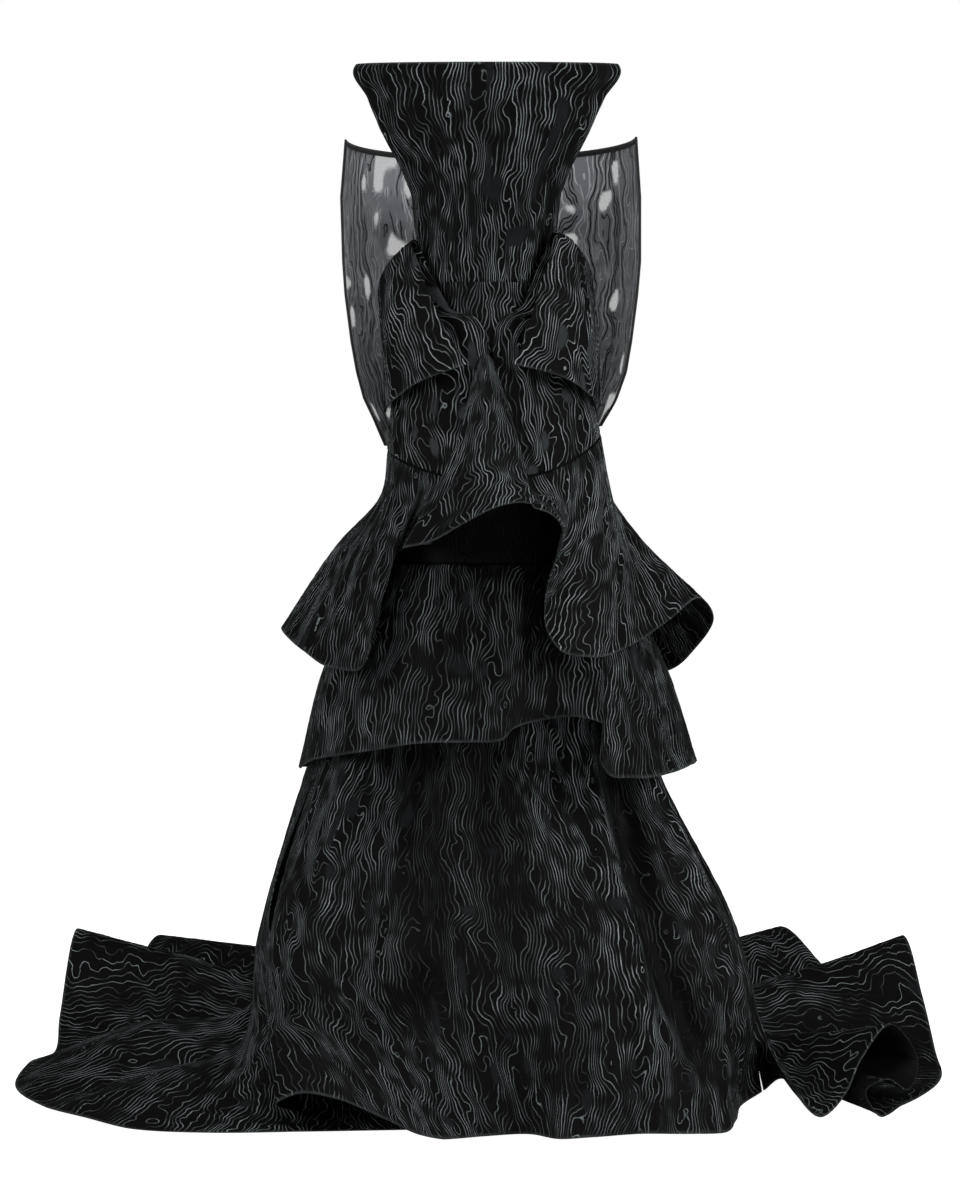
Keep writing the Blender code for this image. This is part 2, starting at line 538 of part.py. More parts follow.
def shield_point(theta, share):
    """A share of 0 is the seam on the figure, 1 the line under the top tape, and any more the top edge itself."""
    turn = math.radians(theta)
    tilt = math.cos(turn)
    middle = (SHIELD_BASE_LEFT + SHIELD_BASE_RIGHT) / 2
    base = middle + (SHIELD_BASE_RIGHT - SHIELD_BASE_LEFT) / 2 * tilt
    if share == 0:
        angle = np.interp(theta, SHIELD_SEAM.theta, SHIELD_SEAM.angle)
        return on_figure(angle, base, np.interp(theta, SHIELD_SEAM.theta, SHIELD_SEAM.away))
    top = (SHIELD_TOP_LEFT + SHIELD_TOP_RIGHT) / 2 + (SHIELD_TOP_RIGHT - SHIELD_TOP_LEFT) / 2 * tilt
    taped = top - TAPE_WIDTH - 2 * SEAM
    height = top if share > 1 else base + (taped - base) * share
    heights = [row.height for row in SHIELD]
    centre, half_width, edge_y, back_y = [
        np.interp(height, heights, [row[column] for row in SHIELD]) for column in range(1, 5)
    ]
    return (
        centre + half_width * math.cos(turn),
        edge_y + (back_y - edge_y) * math.sin(turn),
        height,
    )


def shield_grid():
    inner = np.linspace(TAPE_ANGLE, 180.0 - TAPE_ANGLE, 25)
    thetas = np.concatenate([[0.0], inner, [180.0]])
    shares = (0.0, 0.07, 0.15, 0.24, 0.34, 0.46, 0.60, 0.80, 1.0, 2.0)
    return np.array([[shield_point(theta, share) for share in shares] for theta in thetas])


def back_shield():
    return wall("back_shield", shield_grid(), SHEER, SHEER_CLOQUE)


def binding(name, edge, into, normal):
    """A tape folded over a cloth edge, as a channel of eight corners swept along it."""
    near, far = -SEAM, TAPE_WIDTH
    over, under = SEAM, -SHEER - SEAM
    section = (
        (near - TAPE, over + TAPE),
        (far, over + TAPE),
        (far, over),
        (near, over),
        (near, under),
        (far, under),
        (far, under - TAPE),
        (near - TAPE, under - TAPE),
    )
    points = np.array(
        [
            [edge[place] + into[place] * depth + normal[place] * lift for depth, lift in section]
            for place in range(len(edge))
        ]
    )
    corners = len(section)
    faces = []
    for place in range(len(edge) - 1):
        for corner in range(corners):
            following = (corner + 1) % corners
            faces.append(
                [
                    place * corners + corner,
                    place * corners + following,
                    (place + 1) * corners + following,
                    (place + 1) * corners + corner,
                ]
            )
    last = (len(edge) - 1) * corners
    for quad in ((0, 1, 2, 3), (0, 3, 4, 7), (4, 5, 6, 7)):
        faces.append([corner for corner in reversed(quad)])
        faces.append([last + corner for corner in quad])
    flat = points.reshape(-1, 3)
    if signed_volume(flat, faces) < 0:
        faces = [face[::-1] for face in faces]
    return add_solid(name, flat, faces, BINDING)


def shield_bindings():
    grid = shield_grid()
    normal = outward_normals(grid)
    for name, row, inward in (("shield_binding_right", 0, 1), ("shield_binding_left", -1, -2)):
        into = grid[inward] - grid[row]
        into /= np.linalg.norm(into, axis=1, keepdims=True)
        binding(name, grid[row][:-1], into[:-1], normal[row][:-1])
    into = grid[:, -2] - grid[:, -1]
    into /= np.linalg.norm(into, axis=1, keepdims=True)
    binding("shield_binding_top", grid[:, -1], into, normal[:, -1])


def petal_guide(row):
    """Points up the petal, round its fold and down the flap, as (degrees, centimetres up, centimetres off)."""
    waist_height = MIDRIFF_SEAM - 0.003
    rise = spline(
        [
            (row.base_angle, row.base_height * 100, CLOTH * 100),
            (
                row.base_angle * 0.5 + row.waist_angle * 0.5,
                (row.base_height + waist_height) * 50,
                (CLOTH + row.waist_away) * 50 + 0.3 * (row.base_angle > 20),
            ),
            (row.waist_angle, waist_height * 100, row.waist_away * 100),
            (row.rise_angle, row.rise_height * 100, row.rise_away * 100),
            (row.fold_angle, row.fold_height * 100, row.fold_away * 100),
        ],
        [2, 2, 3, 3],
    )
    turns = np.radians((45.0, 90.0, 135.0))
    fold = [
        (
            row.fold_angle,
            row.fold_height * 100 + math.sin(turn) * FOLD_RADIUS * 100,
            (row.fold_away + FOLD_RADIUS * (1 - math.cos(turn))) * 100,
        )
        for turn in turns
    ]
    fall = spline(
        [
            (row.fold_angle, row.fold_height * 100, (row.fold_away + 2 * FOLD_RADIUS) * 100),
            (row.flap_angle, row.flap_height * 100, row.flap_away * 100),
            (row.hem_angle, row.hem_height * 100, row.hem_away * 100),
        ],
        [3, 4],
    )
    return np.concatenate([rise, fold, fall])


def hip_petal(name, table, side):
    guides = np.array([petal_guide(row) for row in table])
    columns = [spline(guides[:, column], [2, 2, 3, 3, 3]) for column in range(guides.shape[1])]
    grid = [
        [on_figure(side * angle, height / 100, away / 100) for angle, height, away in line]
        for line in np.stack(columns, axis=1)
    ]
    return wall(name, np.array(grid), CLOTH, CLOQUE)


def cut_pieces(grid, cuts, closed=False):
    """Walls for the pieces of one ring. Each cut is (name, first row, last row), and seams stay SEAM open."""
    normal = outward_normals(grid, closed)
    for name, first, last in cuts:
        rows = np.arange(first, last + 1) % len(grid)
        piece = grid[rows].copy()
        for end, inward in ((0, 1), (-1, -2)):
            step = piece[inward] - piece[end]
            piece[end] += step / np.linalg.norm(step, axis=1, keepdims=True) * SEAM / 2
        wall(name, piece, CLOTH, CLOQUE, normal=normal[rows])


def peplum_guides(table):
    guides = []
    for row in table:
        top = on_figure(row.angle, row.top_height - SEAM, CLOTH + LAYER / 2)
        hip = on_figure(row.angle, HIP_HEIGHT, CLOTH + row.hip_away)
        hem = (row.hem_x, row.hem_y, row.hem_height)
        turn = math.radians(row.angle)
        outward = np.array((math.sin(turn), -math.cos(turn), 0.0))
        middle = np.array(hip) + FLARE_SHARE * (np.array(hem) - hip) + row.flare * outward
        guides.append((top, hip, middle, hem))
    return guides


def peplum():
    """One ring from the godet's right edge round the back to its left edge, cut at both side seams."""
    table = PEPLUM_RIGHT + PEPLUM_BACK[1:-1] + PEPLUM_LEFT
    right = [2] * (len(PEPLUM_RIGHT) - 1)
    back = [2, 2, 2, 2, 2, 2, 2, 2, 2, 3, 4]
    left = [2] * (len(PEPLUM_LEFT) - 1)
    grid = loft(peplum_guides(table), right + back + left, [1, 4, 4])
    side_right = sum(right)
    side_left = side_right + sum(back)
    cuts = (
        ("peplum_right", 0, side_right),
        ("peplum_back", side_right, side_left),
        ("peplum_left", side_left, len(grid) - 1),
    )
    cut_pieces(grid, cuts)


def godet_guides():
    return [
        (
            (row.top_x, row.top_y, row.top_height),
            (row.mid_x, row.mid_y, row.mid_height),
            (row.hem_x, row.hem_y, row.hem_height),
        )
        for row in GODET
    ]


def tier_guides(table):
    guides = []
    for row in table:
        top = np.array(on_figure(row.angle, YOKE_BOTTOM - SEAM, CLOTH + LAYER / 2))
        hem = np.array((row.hem_x, row.hem_y, row.hem_height))
        turn = math.radians(row.angle)
        middle = (top + hem) / 2 + row.bow * np.array((math.sin(turn), -math.cos(turn), 0.0))
        guides.append((top, middle, hem))
    return guides


def middle_tier():
    """One ring from the left side seam round the front and back to it, cut at both side seams."""
    front = [2] * (len(TIER_FRONT) - 1)
    back = [3, 3, 3, 4, 4, 3, 3, 2, 2]
    grid = loft(tier_guides(TIER_FRONT + TIER_BACK[1:]), front + back, [3, 3])[:-1]
    side = sum(front)
    cut_pieces(grid, (("tier_front", 0, side), ("tier_back", side, side + sum(back))), closed=True)


def skirt_controls(row):
    return [
        on_ring(SKIRT_TOP, row.angle, 0.0),
        on_ring(SKIRT_KNEE, row.angle, row.ripple * 0.35),
        on_ring(SKIRT_LOW, row.angle, row.ripple),
    ]


def skirt_front_guides():
    return [skirt_controls(row) + [(row.hem_x, row.hem_y, row.hem_height)] for row in SKIRT_FRONT]


def skirt_front():
    grid = loft(skirt_front_guides(), 2, [3, 3, 5])
    for fold in SKIRT_FOLDS:
        grid = raise_fold(grid, fold)
    return wall("skirt_front", grid, CLOTH, CLOQUE)


def train_guides(table):
    guides = []
    for row in table:
        foot = (row.foot_x, row.foot_y, row.foot_height)
        hem = (row.hem_x, row.hem_y, row.hem_height)
        middle = ((row.foot_x + row.hem_x) / 2, (row.foot_y + row.hem_y) / 2, row.mid_height)
        guides.append(skirt_controls(row) + [foot, middle, hem])
    return guides


def main():
    clear_scene()
    bodice_front()
    midriff_front()
    bodice_back()
    hip_yoke()
    back_shield()
    shield_bindings()
    hip_petal("hip_petal_left", LEFT_PETAL, -1)
    hip_petal("hip_petal_right", RIGHT_PETAL, 1)
    wall("centre_godet", loft(godet_guides(), 2, [6, 6]), CLOTH, CLOQUE)
    peplum()
    middle_tier()
    skirt_front()
    wall("skirt_train_left", loft(train_guides(TRAIN_LEFT), 2, [3, 3, 2, 2, 3]), CLOTH, CLOQUE)
    wall("skirt_train_right", loft(train_guides(TRAIN_RIGHT), TRAIN_RIGHT_STEPS, [3, 3, 2, 2, 3]), CLOTH, CLOQUE)


main()
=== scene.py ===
"""Looks of the evening gown: crinkled black double cloth, sheer shield, bindings, floor, light and camera."""

from __future__ import annotations

import logging
import math
from dataclasses import dataclass, field
from enum import Enum
from typing import Sequence

import bpy
import numpy as np
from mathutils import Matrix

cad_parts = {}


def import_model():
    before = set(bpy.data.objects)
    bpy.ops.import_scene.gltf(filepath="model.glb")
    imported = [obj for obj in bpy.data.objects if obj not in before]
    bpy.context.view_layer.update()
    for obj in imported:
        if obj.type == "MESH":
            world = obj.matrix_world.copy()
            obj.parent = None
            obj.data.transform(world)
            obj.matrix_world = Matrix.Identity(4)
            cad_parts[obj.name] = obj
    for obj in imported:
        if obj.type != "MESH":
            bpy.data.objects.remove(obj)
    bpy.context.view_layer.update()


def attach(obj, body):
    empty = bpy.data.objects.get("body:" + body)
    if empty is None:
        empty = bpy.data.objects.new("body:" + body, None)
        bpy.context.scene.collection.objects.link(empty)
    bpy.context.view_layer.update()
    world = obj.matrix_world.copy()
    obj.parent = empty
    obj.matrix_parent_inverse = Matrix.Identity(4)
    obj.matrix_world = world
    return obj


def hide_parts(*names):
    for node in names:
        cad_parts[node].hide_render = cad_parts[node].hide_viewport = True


LOG = logging.getLogger("gown")

WAIST_HEIGHT = 1.12
CLOTH = 0.0020
SHEER = 0.0012
SEAM = 0.0003
SEAM_AT_SIDE = 0.0009
LAYER = 0.0008
TAPE = 0.0010
TAPE_WIDTH = 0.007
FOLD_RADIUS = 0.0055
FLOOR_CLEARANCE = 0.0012
YOKE_TOP = 0.960
YOKE_BOTTOM = 0.775
BUST_SEAM = 1.183
MIDRIFF_SEAM = 1.081
BACK_TOP = 1.345
HIP_HEIGHT = 0.885
FLARE_SHARE = 0.4


# Figure that the close pieces follow


class Figure:
    """The general figure inside the close pieces: height, centre, half width, front and back depth."""

    ROWS = (
        (0.740, 0.004, 0.1720, 0.150, 0.158),
        (0.775, 0.005, 0.1680, 0.147, 0.152),
        (0.820, 0.007, 0.1620, 0.142, 0.145),
        (0.860, 0.009, 0.1590, 0.138, 0.140),
        (0.900, 0.009, 0.1590, 0.134, 0.139),
        (0.950, 0.008, 0.1570, 0.127, 0.134),
        (1.000, 0.006, 0.1460, 0.118, 0.124),
        (1.050, 0.003, 0.1310, 0.108, 0.112),
        (1.100, 0.000, 0.1170, 0.100, 0.100),
        (1.150, -0.004, 0.1070, 0.095, 0.090),
        (1.183, -0.006, 0.1020, 0.093, 0.085),
        (1.245, -0.006, 0.1030, 0.098, 0.084),
        (1.316, -0.006, 0.1100, 0.112, 0.086),
        (1.345, -0.0065, 0.1210, 0.118, 0.090),
        (1.400, -0.0070, 0.1480, 0.124, 0.095),
    )

    @classmethod
    def row(cls, height: np.ndarray) -> list[np.ndarray]:
        """The centre, half width, front and back depth at each height.

        Args:
            height: metres above the floor.

        Returns:
            The four values, each in the heights' shape.
        """
        table = np.array(cls.ROWS)
        return [np.interp(height, table[:, 0], table[:, column]) for column in range(1, 5)]

    @classmethod
    def point(cls, angle: np.ndarray, height: np.ndarray, away: np.ndarray) -> np.ndarray:
        """Points off the figure.

        Args:
            angle: degrees from the centre front, positive to the viewer's right.
            height: metres above the floor.
            away: metres off the figure.

        Returns:
            The points, with their coordinates in the last axis.
        """
        angle, height, away = np.broadcast_arrays(angle, height, away)
        centre, half_width, front, back = cls.row(height)
        turn = np.radians(angle)
        depth = np.where(np.cos(turn) > 0, front, back)
        across = centre + np.sin(turn) * (half_width + away)
        return np.stack([across, -np.cos(turn) * (depth + away), height], axis=-1)


# Curves and grids


def spline(points: Sequence, steps: Sequence[int]) -> np.ndarray:
    """A smooth curve through the rows of points.

    Args:
        points: the rows to pass through, of any shape.
        steps: how many samples each gap gets.

    Returns:
        The sampled rows, the last point included.
    """
    rows = np.asarray(points, float)
    flat = rows.reshape(len(rows), -1)
    chord = np.maximum(np.linalg.norm(np.diff(flat, axis=0), axis=1), 1e-6)
    slope = np.diff(flat, axis=0) / chord[:, None]
    tangent = np.empty_like(flat)
    tangent[0] = slope[0]
    tangent[-1] = slope[-1]
    before, after = chord[:-1, None], chord[1:, None]
    tangent[1:-1] = (slope[:-1] * after + slope[1:] * before) / (before + after)
    found = []
    for gap in range(len(rows) - 1):
        t = (np.arange(steps[gap]) / steps[gap])[:, None]
        reach = chord[gap]
        found.append(
            (2 * t**3 - 3 * t**2 + 1) * flat[gap]
            + (t**3 - 2 * t**2 + t) * reach * tangent[gap]
            + (3 * t**2 - 2 * t**3) * flat[gap + 1]
            + (t**3 - t**2) * reach * tangent[gap + 1]
        )
    found.append(flat[-1:])
    return np.concatenate(found).reshape(-1, *rows.shape[1:])


def steps_between(rows: np.ndarray, spacing: float) -> list[int]:
    """How many steps each gap between rows needs, so that no step is longer than spacing.

    Args:
        rows: points of shape (row, place, 3).
        spacing: the longest step in metres.

    Returns:
        One count for each gap.
    """
    chord = np.linalg.norm(np.diff(rows, axis=0), axis=2).max(axis=1)
    return [max(1, math.ceil(length / spacing)) for length in chord]


def loft(guides: Sequence, spacing: tuple[float, float]) -> tuple[np.ndarray, list[int]]:
    """A fine grid over guides.

    Args:
        guides: points of shape (guide, control, 3).
        spacing: the longest step across and along, in metres.

    Returns:
        The grid, and the row on which each guide lies.
    """
    lines = np.asarray(guides, float)
    along = steps_between(lines.transpose(1, 0, 2), spacing[1])
    lines = np.stack([spline(guide, along) for guide in lines])
    across = steps_between(lines, spacing[0])
    columns = [spline(lines[:, column], across) for column in range(lines.shape[1])]
    return np.stack(columns, axis=1), [0, *np.cumsum(across).tolist()]


def normals_of(grid: np.ndarray, closed: bool = False) -> np.ndarray:
    """Unit normals that point away from the figure along the grid's first edge.

    Args:
        grid: points of shape (row, column, 3).
        closed: whether the last row runs on into the first.

    Returns:
        The normals, in the grid's shape.
    """
    if closed:
        across = np.roll(grid, -1, axis=0) - np.roll(grid, 1, axis=0)
    else:
        across = np.gradient(grid, axis=0)
    normal = np.cross(across, np.gradient(grid, axis=1))
    normal /= np.maximum(np.linalg.norm(normal, axis=2, keepdims=True), 1e-12)
    outward = grid[:, 0] * (1.0, 1.0, 0.0)
    return -normal if float((normal[:, 0] * outward).sum()) < 0 else normal


def flat_place(grid: np.ndarray) -> tuple[np.ndarray, np.ndarray]:
    """Where each point lies on the flat cloth.

    Args:
        grid: points of shape (row, column, 3).

    Returns:
        Millimetres across from the middle row, and along from the top.
    """
    across = np.linalg.norm(np.diff(grid, axis=0), axis=2).cumsum(axis=0)
    across = np.concatenate([np.zeros((1, grid.shape[1])), across])
    across -= across[len(across) // 2]
    along = np.linalg.norm(np.diff(grid, axis=1), axis=2).cumsum(axis=1)
    along = np.concatenate([np.zeros((grid.shape[0], 1)), along], axis=1)
    return across * 1000, along * 1000


# Crinkled cloth


class Noise:
    """Smooth seeded noise between -1 and 1, with one lobe for each unit of its two inputs."""

    SIZE = 97

    def __init__(self, seed: int) -> None:
        """Makes the table that the seed stands for."""
        self.table = np.random.default_rng(seed).uniform(-1.0, 1.0, (self.SIZE, self.SIZE))

    def __call__(self, x: np.ndarray, y: np.ndarray) -> np.ndarray:
        """The noise at each place.

        Args:
            x: the first input.
            y: the second input.

        Returns:
            Values between -1 and 1.
        """
        left, low = np.floor(x).astype(int), np.floor(y).astype(int)
        across, up = x - left, y - low
        across = across * across * (3 - 2 * across)
        up = up * up * (3 - 2 * up)
        corner = [self.table[(left + i) % self.SIZE, (low + j) % self.SIZE] for j in (0, 1) for i in (0, 1)]
        lower = corner[0] + (corner[1] - corner[0]) * across
        upper = corner[2] + (corner[3] - corner[2]) * across
        return lower + (upper - lower) * up


@dataclass(frozen=True)
class Crinkle:
    """Raised lines of the double cloth: contour lines of a bent field, which flow round smooth patches."""

    spacing: float = 6.2
    half_width: float = 1.9
    swell: float = 1.7
    wander: float = 1.0
    jitter: float = 0.40
    smooth_level: float = 0.80
    lobe: tuple[float, float] = (26.0, 54.0)
    boldness: float = 1.0
    seed: int = 7

    def relief(self, u: np.ndarray, v: np.ndarray, steps: tuple) -> dict[str, np.ndarray]:
        """The field whose whole numbers are the raised lines, and what is worked out from it.

        Args:
            u: millimetres across the flat cloth.
            v: millimetres along it.
            steps: the millimetres that u and v gain from row to row and from column to column.

        Returns:
            The field ("line_level"), its slope for each millimetre ("line_slope"), how strongly its lines
            show ("line_force_with_painted_fold_light"), the smooth patches ("smooth_oval") and the lines' height ("raised_line").
        """
        sway = [Noise(self.seed * 11 + k) for k in range(9)]
        lobe_u, lobe_v = self.lobe
        bend_u = u + 7.0 * sway[0](u / 80, v / 60)
        bend_v = v + 9.0 * sway[1](u / 38, v / 70)
        patch = sway[2](bend_u / lobe_u, bend_v / lobe_v)
        level = (
            bend_u / self.spacing
            + self.swell * patch
            + self.wander * sway[3](bend_u / 17, bend_v / 27)
            + self.jitter * sway[4](u / 8.5, v / 10.0)
        )
        du, dv = steps
        slope = np.hypot(np.gradient(level, axis=0) / du, np.gradient(level, axis=1) / dv)
        slope = np.clip(slope, 0.035, 0.21)
        nearest = np.round(level)
        distance = np.abs(level - nearest) / slope
        force = np.clip(0.6 + 0.8 * sway[6](u / 10, v / 17) + 0.35 * sway[8](u / 55, v / 80), 0.05, 1.0)
        smooth = np.clip((np.abs(patch) - self.smooth_level) / 0.08, 0.0, 1.0)
        force = force * (1.0 - 0.92 * smooth) * self.boldness
        line = np.exp(-((distance / self.half_width) ** 2)) * force
        return {
            "line_level": level,
            "line_slope": slope,
            "line_force_with_painted_fold_light": force,
            "smooth_oval": smooth,
            "raised_line": line,
        }


@dataclass(frozen=True)
class Crease:
    """A soft fold, placed between two places given as shares (across, along) of the piece."""

    from_across: float
    from_along: float
    to_across: float
    to_along: float
    rise: float
    width: float

    def lift(self, u: np.ndarray, v: np.ndarray) -> np.ndarray:
        """How far the fold moves each point out.

        Args:
            u: millimetres across the flat cloth.
            v: millimetres along it.

        Returns:
            The lift in millimetres.
        """
        rows, columns = u.shape
        ends = []
        for across, along in ((self.from_across, self.from_along), (self.to_across, self.to_along)):
            row, column = int(round(across * (rows - 1))), int(round(along * (columns - 1)))
            ends.append(np.array((u[row, column], v[row, column])))
        path = ends[1] - ends[0]
        place = np.stack([u, v], axis=-1) - ends[0]
        share = (place @ path) / max(float(path @ path), 1e-6)
        off = np.linalg.norm(place - np.clip(share, 0.0, 1.0)[..., None] * path, axis=-1)
        fade = np.clip(np.minimum(share + 0.2, 1.2 - share) / 0.4, 0.0, 1.0)
        return self.rise * np.exp(-((off / self.width) ** 2)) * fade * fade * (3 - 2 * fade)


class Face(Enum):
    """Which faces of a wall show the raised lines."""

    OUTER = "outer"
    BOTH = "both"


@dataclass
class Panel:
    """One cut piece of cloth on its form, ready to be made into a wall."""

    CREASE_FADE_MM = 40.0
    LINE_FADE_MM = 2.5
    HEM_MM = 3.4
    LEAST_STEP_MM = 0.3
    # Painted fold light: the lift at which the lines' painted highlight doubles, and the limits of that factor.
    FOLD_LIFT_THAT_DOUBLES_PAINTED_LIGHT = 0.013
    PAINTED_FOLD_LIGHT_LIMITS = (0.25, 2.4)
    GROUND_LEVEL = 0.25
    RIM_ROUNDING = 0.45

    name: str
    node: str
    grid: np.ndarray
    normal: np.ndarray
    thickness: float = CLOTH
    relief_mm: float = 0.95
    crinkle: Crinkle = field(default_factory=Crinkle)
    creases: tuple[Crease, ...] = ()
    faces: Face = Face.OUTER
    coarse: int = 5
    free_edges: tuple[bool, bool, bool, bool] = (False, False, False, True)
    place: tuple[np.ndarray, np.ndarray] | None = None
    slot: str = "cloque"
    held: str = "draped"
    rests_on: tuple[str, ...] = ()

    def build(self, finish: bpy.types.Material) -> bpy.types.Object:
        """Makes the wall with its raised lines, creases, painted light and shade along the creases, rounded
        edges, pattern map and finish.

        Args:
            finish: the piece's material.

        Returns:
            The new object.
        """
        u, v = self.place or flat_place(self.grid)
        base = self.grid
        # Painted light and shade of the creases: the raised lines are drawn brighter on the folds' crests and
        # dimmer in their troughs, through the lines' force.
        painted_fold_light = np.ones_like(u)
        if self.creases:
            lift = sum(crease.lift(u, v) for crease in self.creases) / 1000
            lift = lift * self.edge_fade(u, v, self.CREASE_FADE_MM, free=1.0, seam=0.0)
            painted_fold_light = np.clip(1.0 + lift / self.FOLD_LIFT_THAT_DOUBLES_PAINTED_LIGHT, *self.PAINTED_FOLD_LIGHT_LIMITS)
            base = base + self.normal * lift[..., None]
            base[..., 2] = np.maximum(base[..., 2], CLOTH + FLOOR_CLEARANCE)
        du = np.maximum(np.abs(np.gradient(u, axis=0)), self.LEAST_STEP_MM)
        dv = np.maximum(np.abs(np.gradient(v, axis=1)), self.LEAST_STEP_MM)
        across = np.broadcast_to(u[:, int(0.6 * u.shape[1])][:, None], u.shape)
        marks = self.crinkle.relief(across, v, (du, dv))
        line = marks.pop("raised_line") * self.edge_fade(u, v, self.LINE_FADE_MM, free=0.9, seam=0.35)
        marks["line_force_with_painted_fold_light"] = marks["line_force_with_painted_fold_light"] * painted_fold_light
        marks["hem_edge"] = 1.0 - self.edge_fade(u, v, self.HEM_MM, free=0.0, seam=1.0)
        rise = (line - self.GROUND_LEVEL) * self.relief_mm / 1000
        outer = base + self.normal * rise[..., None]
        under = base - self.normal * self.thickness
        if self.faces is Face.BOTH:
            under = under - self.normal * rise[..., None]
        under[..., 2] = np.maximum(under[..., 2], FLOOR_CLEARANCE)
        obj = self.wall(outer, under, marks, u, v)
        obj.data.materials.append(finish)
        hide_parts(self.node)
        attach(obj, "root")
        self.declare(u, v)
        return obj

    def edge_fade(self, u: np.ndarray, v: np.ndarray, reach: float, free: float, seam: float) -> np.ndarray:
        """A factor that falls towards each edge.

        Args:
            u: millimetres across the flat cloth.
            v: millimetres along it.
            reach: the millimetres over which it falls.
            free: its value at a free edge.
            seam: its value at a seam.

        Returns:
            The factor at each place.
        """
        gaps = (u - u[:1], u[-1:] - u, v - v[:, :1], v[:, -1:] - v)
        factor = np.ones_like(u)
        for gap, is_free in zip(gaps, self.free_edges):
            low = free if is_free else seam
            share = np.clip(np.abs(gap) / reach, 0.0, 1.0)
            factor = factor * (low + (1.0 - low) * share * share * (3 - 2 * share))
        return factor

    def wall(
        self, outer: np.ndarray, under: np.ndarray, marks: dict[str, np.ndarray], u: np.ndarray, v: np.ndarray
    ) -> bpy.types.Object:
        """A closed wall: a fine outer face, a coarser inner one and a rounded rim between them.

        Args:
            outer: the outer face's points, of shape (row, column, 3).
            under: the inner face's points, in the same shape.
            marks: the crinkle's values at each place, by name.
            u: millimetres across the flat cloth.
            v: millimetres along it.

        Returns:
            The new object.
        """
        rows, columns = outer.shape[:2]
        step = 1 if self.faces is Face.BOTH else self.coarse
        ring = [(row, 0) for row in range(rows)]
        ring += [(rows - 1, column) for column in range(1, columns)]
        ring += [(row, columns - 1) for row in range(rows - 2, -1, -1)]
        ring += [(0, column) for column in range(columns - 2, 0, -1)]
        ring_rows, ring_columns = np.array(ring).T
        coarse_rows = sorted({*range(0, rows - 1, step), rows - 1})
        coarse_columns = sorted({*range(0, columns - 1, step), columns - 1})
        used = np.zeros((rows, columns), bool)
        used[np.ix_(coarse_rows, coarse_columns)] = True
        used[ring_rows, ring_columns] = True
        outer_index = np.arange(rows * columns).reshape(rows, columns)
        under_index = np.full((rows, columns), -1)
        under_index[used] = rows * columns + np.arange(used.sum())
        middle_start = rows * columns + int(used.sum())
        edge = (outer[ring_rows, ring_columns] + under[ring_rows, ring_columns]) / 2
        inside_rows = np.clip(ring_rows, 1, rows - 2)
        inside_columns = np.clip(ring_columns, 1, columns - 2)
        inside = (outer[inside_rows, inside_columns] + under[inside_rows, inside_columns]) / 2
        push = edge - inside
        push /= np.maximum(np.linalg.norm(push, axis=1, keepdims=True), 1e-9)
        seam_room = min(self.thickness * 0.4, SEAM * self.RIM_ROUNDING)
        free = np.zeros(len(ring))
        free[ring_rows == 0] = self.free_edges[0]
        free[ring_rows == rows - 1] = self.free_edges[1]
        free[ring_columns == 0] = self.free_edges[2]
        free[ring_columns == columns - 1] = self.free_edges[3]
        bulge = np.where(free > 0, self.thickness * self.RIM_ROUNDING, seam_room)
        middle = edge + push * bulge[:, None]
        middle[:, 2] = np.maximum(middle[:, 2], FLOOR_CLEARANCE)
        points = np.concatenate([outer.reshape(-1, 3), under[used], middle])

        quads = np.stack(
            [outer_index[:-1, :-1], outer_index[1:, :-1], outer_index[1:, 1:], outer_index[:-1, 1:]], axis=-1
        ).reshape(-1, 4)
        loops = [quads.reshape(-1)]
        counts = [np.full(len(quads), 4)]
        if step == 1:
            turned = (under_index[:-1, 1:], under_index[1:, 1:], under_index[1:, :-1], under_index[:-1, :-1])
            back = np.stack(turned, axis=-1).reshape(-1, 4)
            loops.append(back.reshape(-1))
            counts.append(np.full(len(back), 4))
        else:
            for low_row, high_row in zip(coarse_rows[:-1], coarse_rows[1:]):
                for low, high in zip(coarse_columns[:-1], coarse_columns[1:]):
                    corner = self.coarse_cell(low_row, high_row, low, high, rows, columns)
                    face = [under_index[place] for place in reversed(corner)]
                    loops.append(np.array(face))
                    counts.append(np.array([len(face)]))
        following = np.roll(np.arange(len(ring)), -1)
        start = outer_index[ring_rows, ring_columns]
        end = under_index[ring_rows, ring_columns]
        middle_index = middle_start + np.arange(len(ring))
        for near, far in ((start, middle_index), (middle_index, end)):
            rim = np.stack([near[following], near, far, far[following]], axis=-1)
            loops.append(rim.reshape(-1))
            counts.append(np.full(len(rim), 4))
        flat_u = np.concatenate([u.reshape(-1), u[used], u[ring_rows, ring_columns]])
        flat_v = np.concatenate([v.reshape(-1), v[used], v[ring_rows, ring_columns]])
        on_under = 1.0 if self.faces is Face.BOTH else 0.0
        patterns = {
            name: np.concatenate([values.reshape(-1), values[used], values[ring_rows, ring_columns]])
            for name, values in marks.items()
        }
        shown = np.concatenate(
            [np.ones(rows * columns), np.full(int(used.sum()), on_under), np.full(len(ring), 0.7)]
        )
        patterns["line_force_with_painted_fold_light"] = patterns["line_force_with_painted_fold_light"] * shown
        inner = np.concatenate(
            [np.zeros(rows * columns), np.full(int(used.sum()), 1.0 - on_under), np.full(len(ring), 0.3)]
        )
        return make_mesh(
            self.name,
            points,
            np.concatenate(loops),
            np.concatenate(counts),
            np.stack([flat_u, flat_v], axis=1) / 1000,
            {**patterns, "inner_face": inner},
        )

    @staticmethod
    def coarse_cell(
        low_row: int, high_row: int, low: int, high: int, rows: int, columns: int
    ) -> list[tuple[int, int]]:
        """The places round one coarse cell, with the fine ones wherever a side lies on the piece's edge.

        Args:
            low_row: the cell's first row.
            high_row: its last row.
            low: its first column.
            high: its last column.
            rows: how many rows the piece has.
            columns: how many columns it has.

        Returns:
            The places, as (row, column).
        """

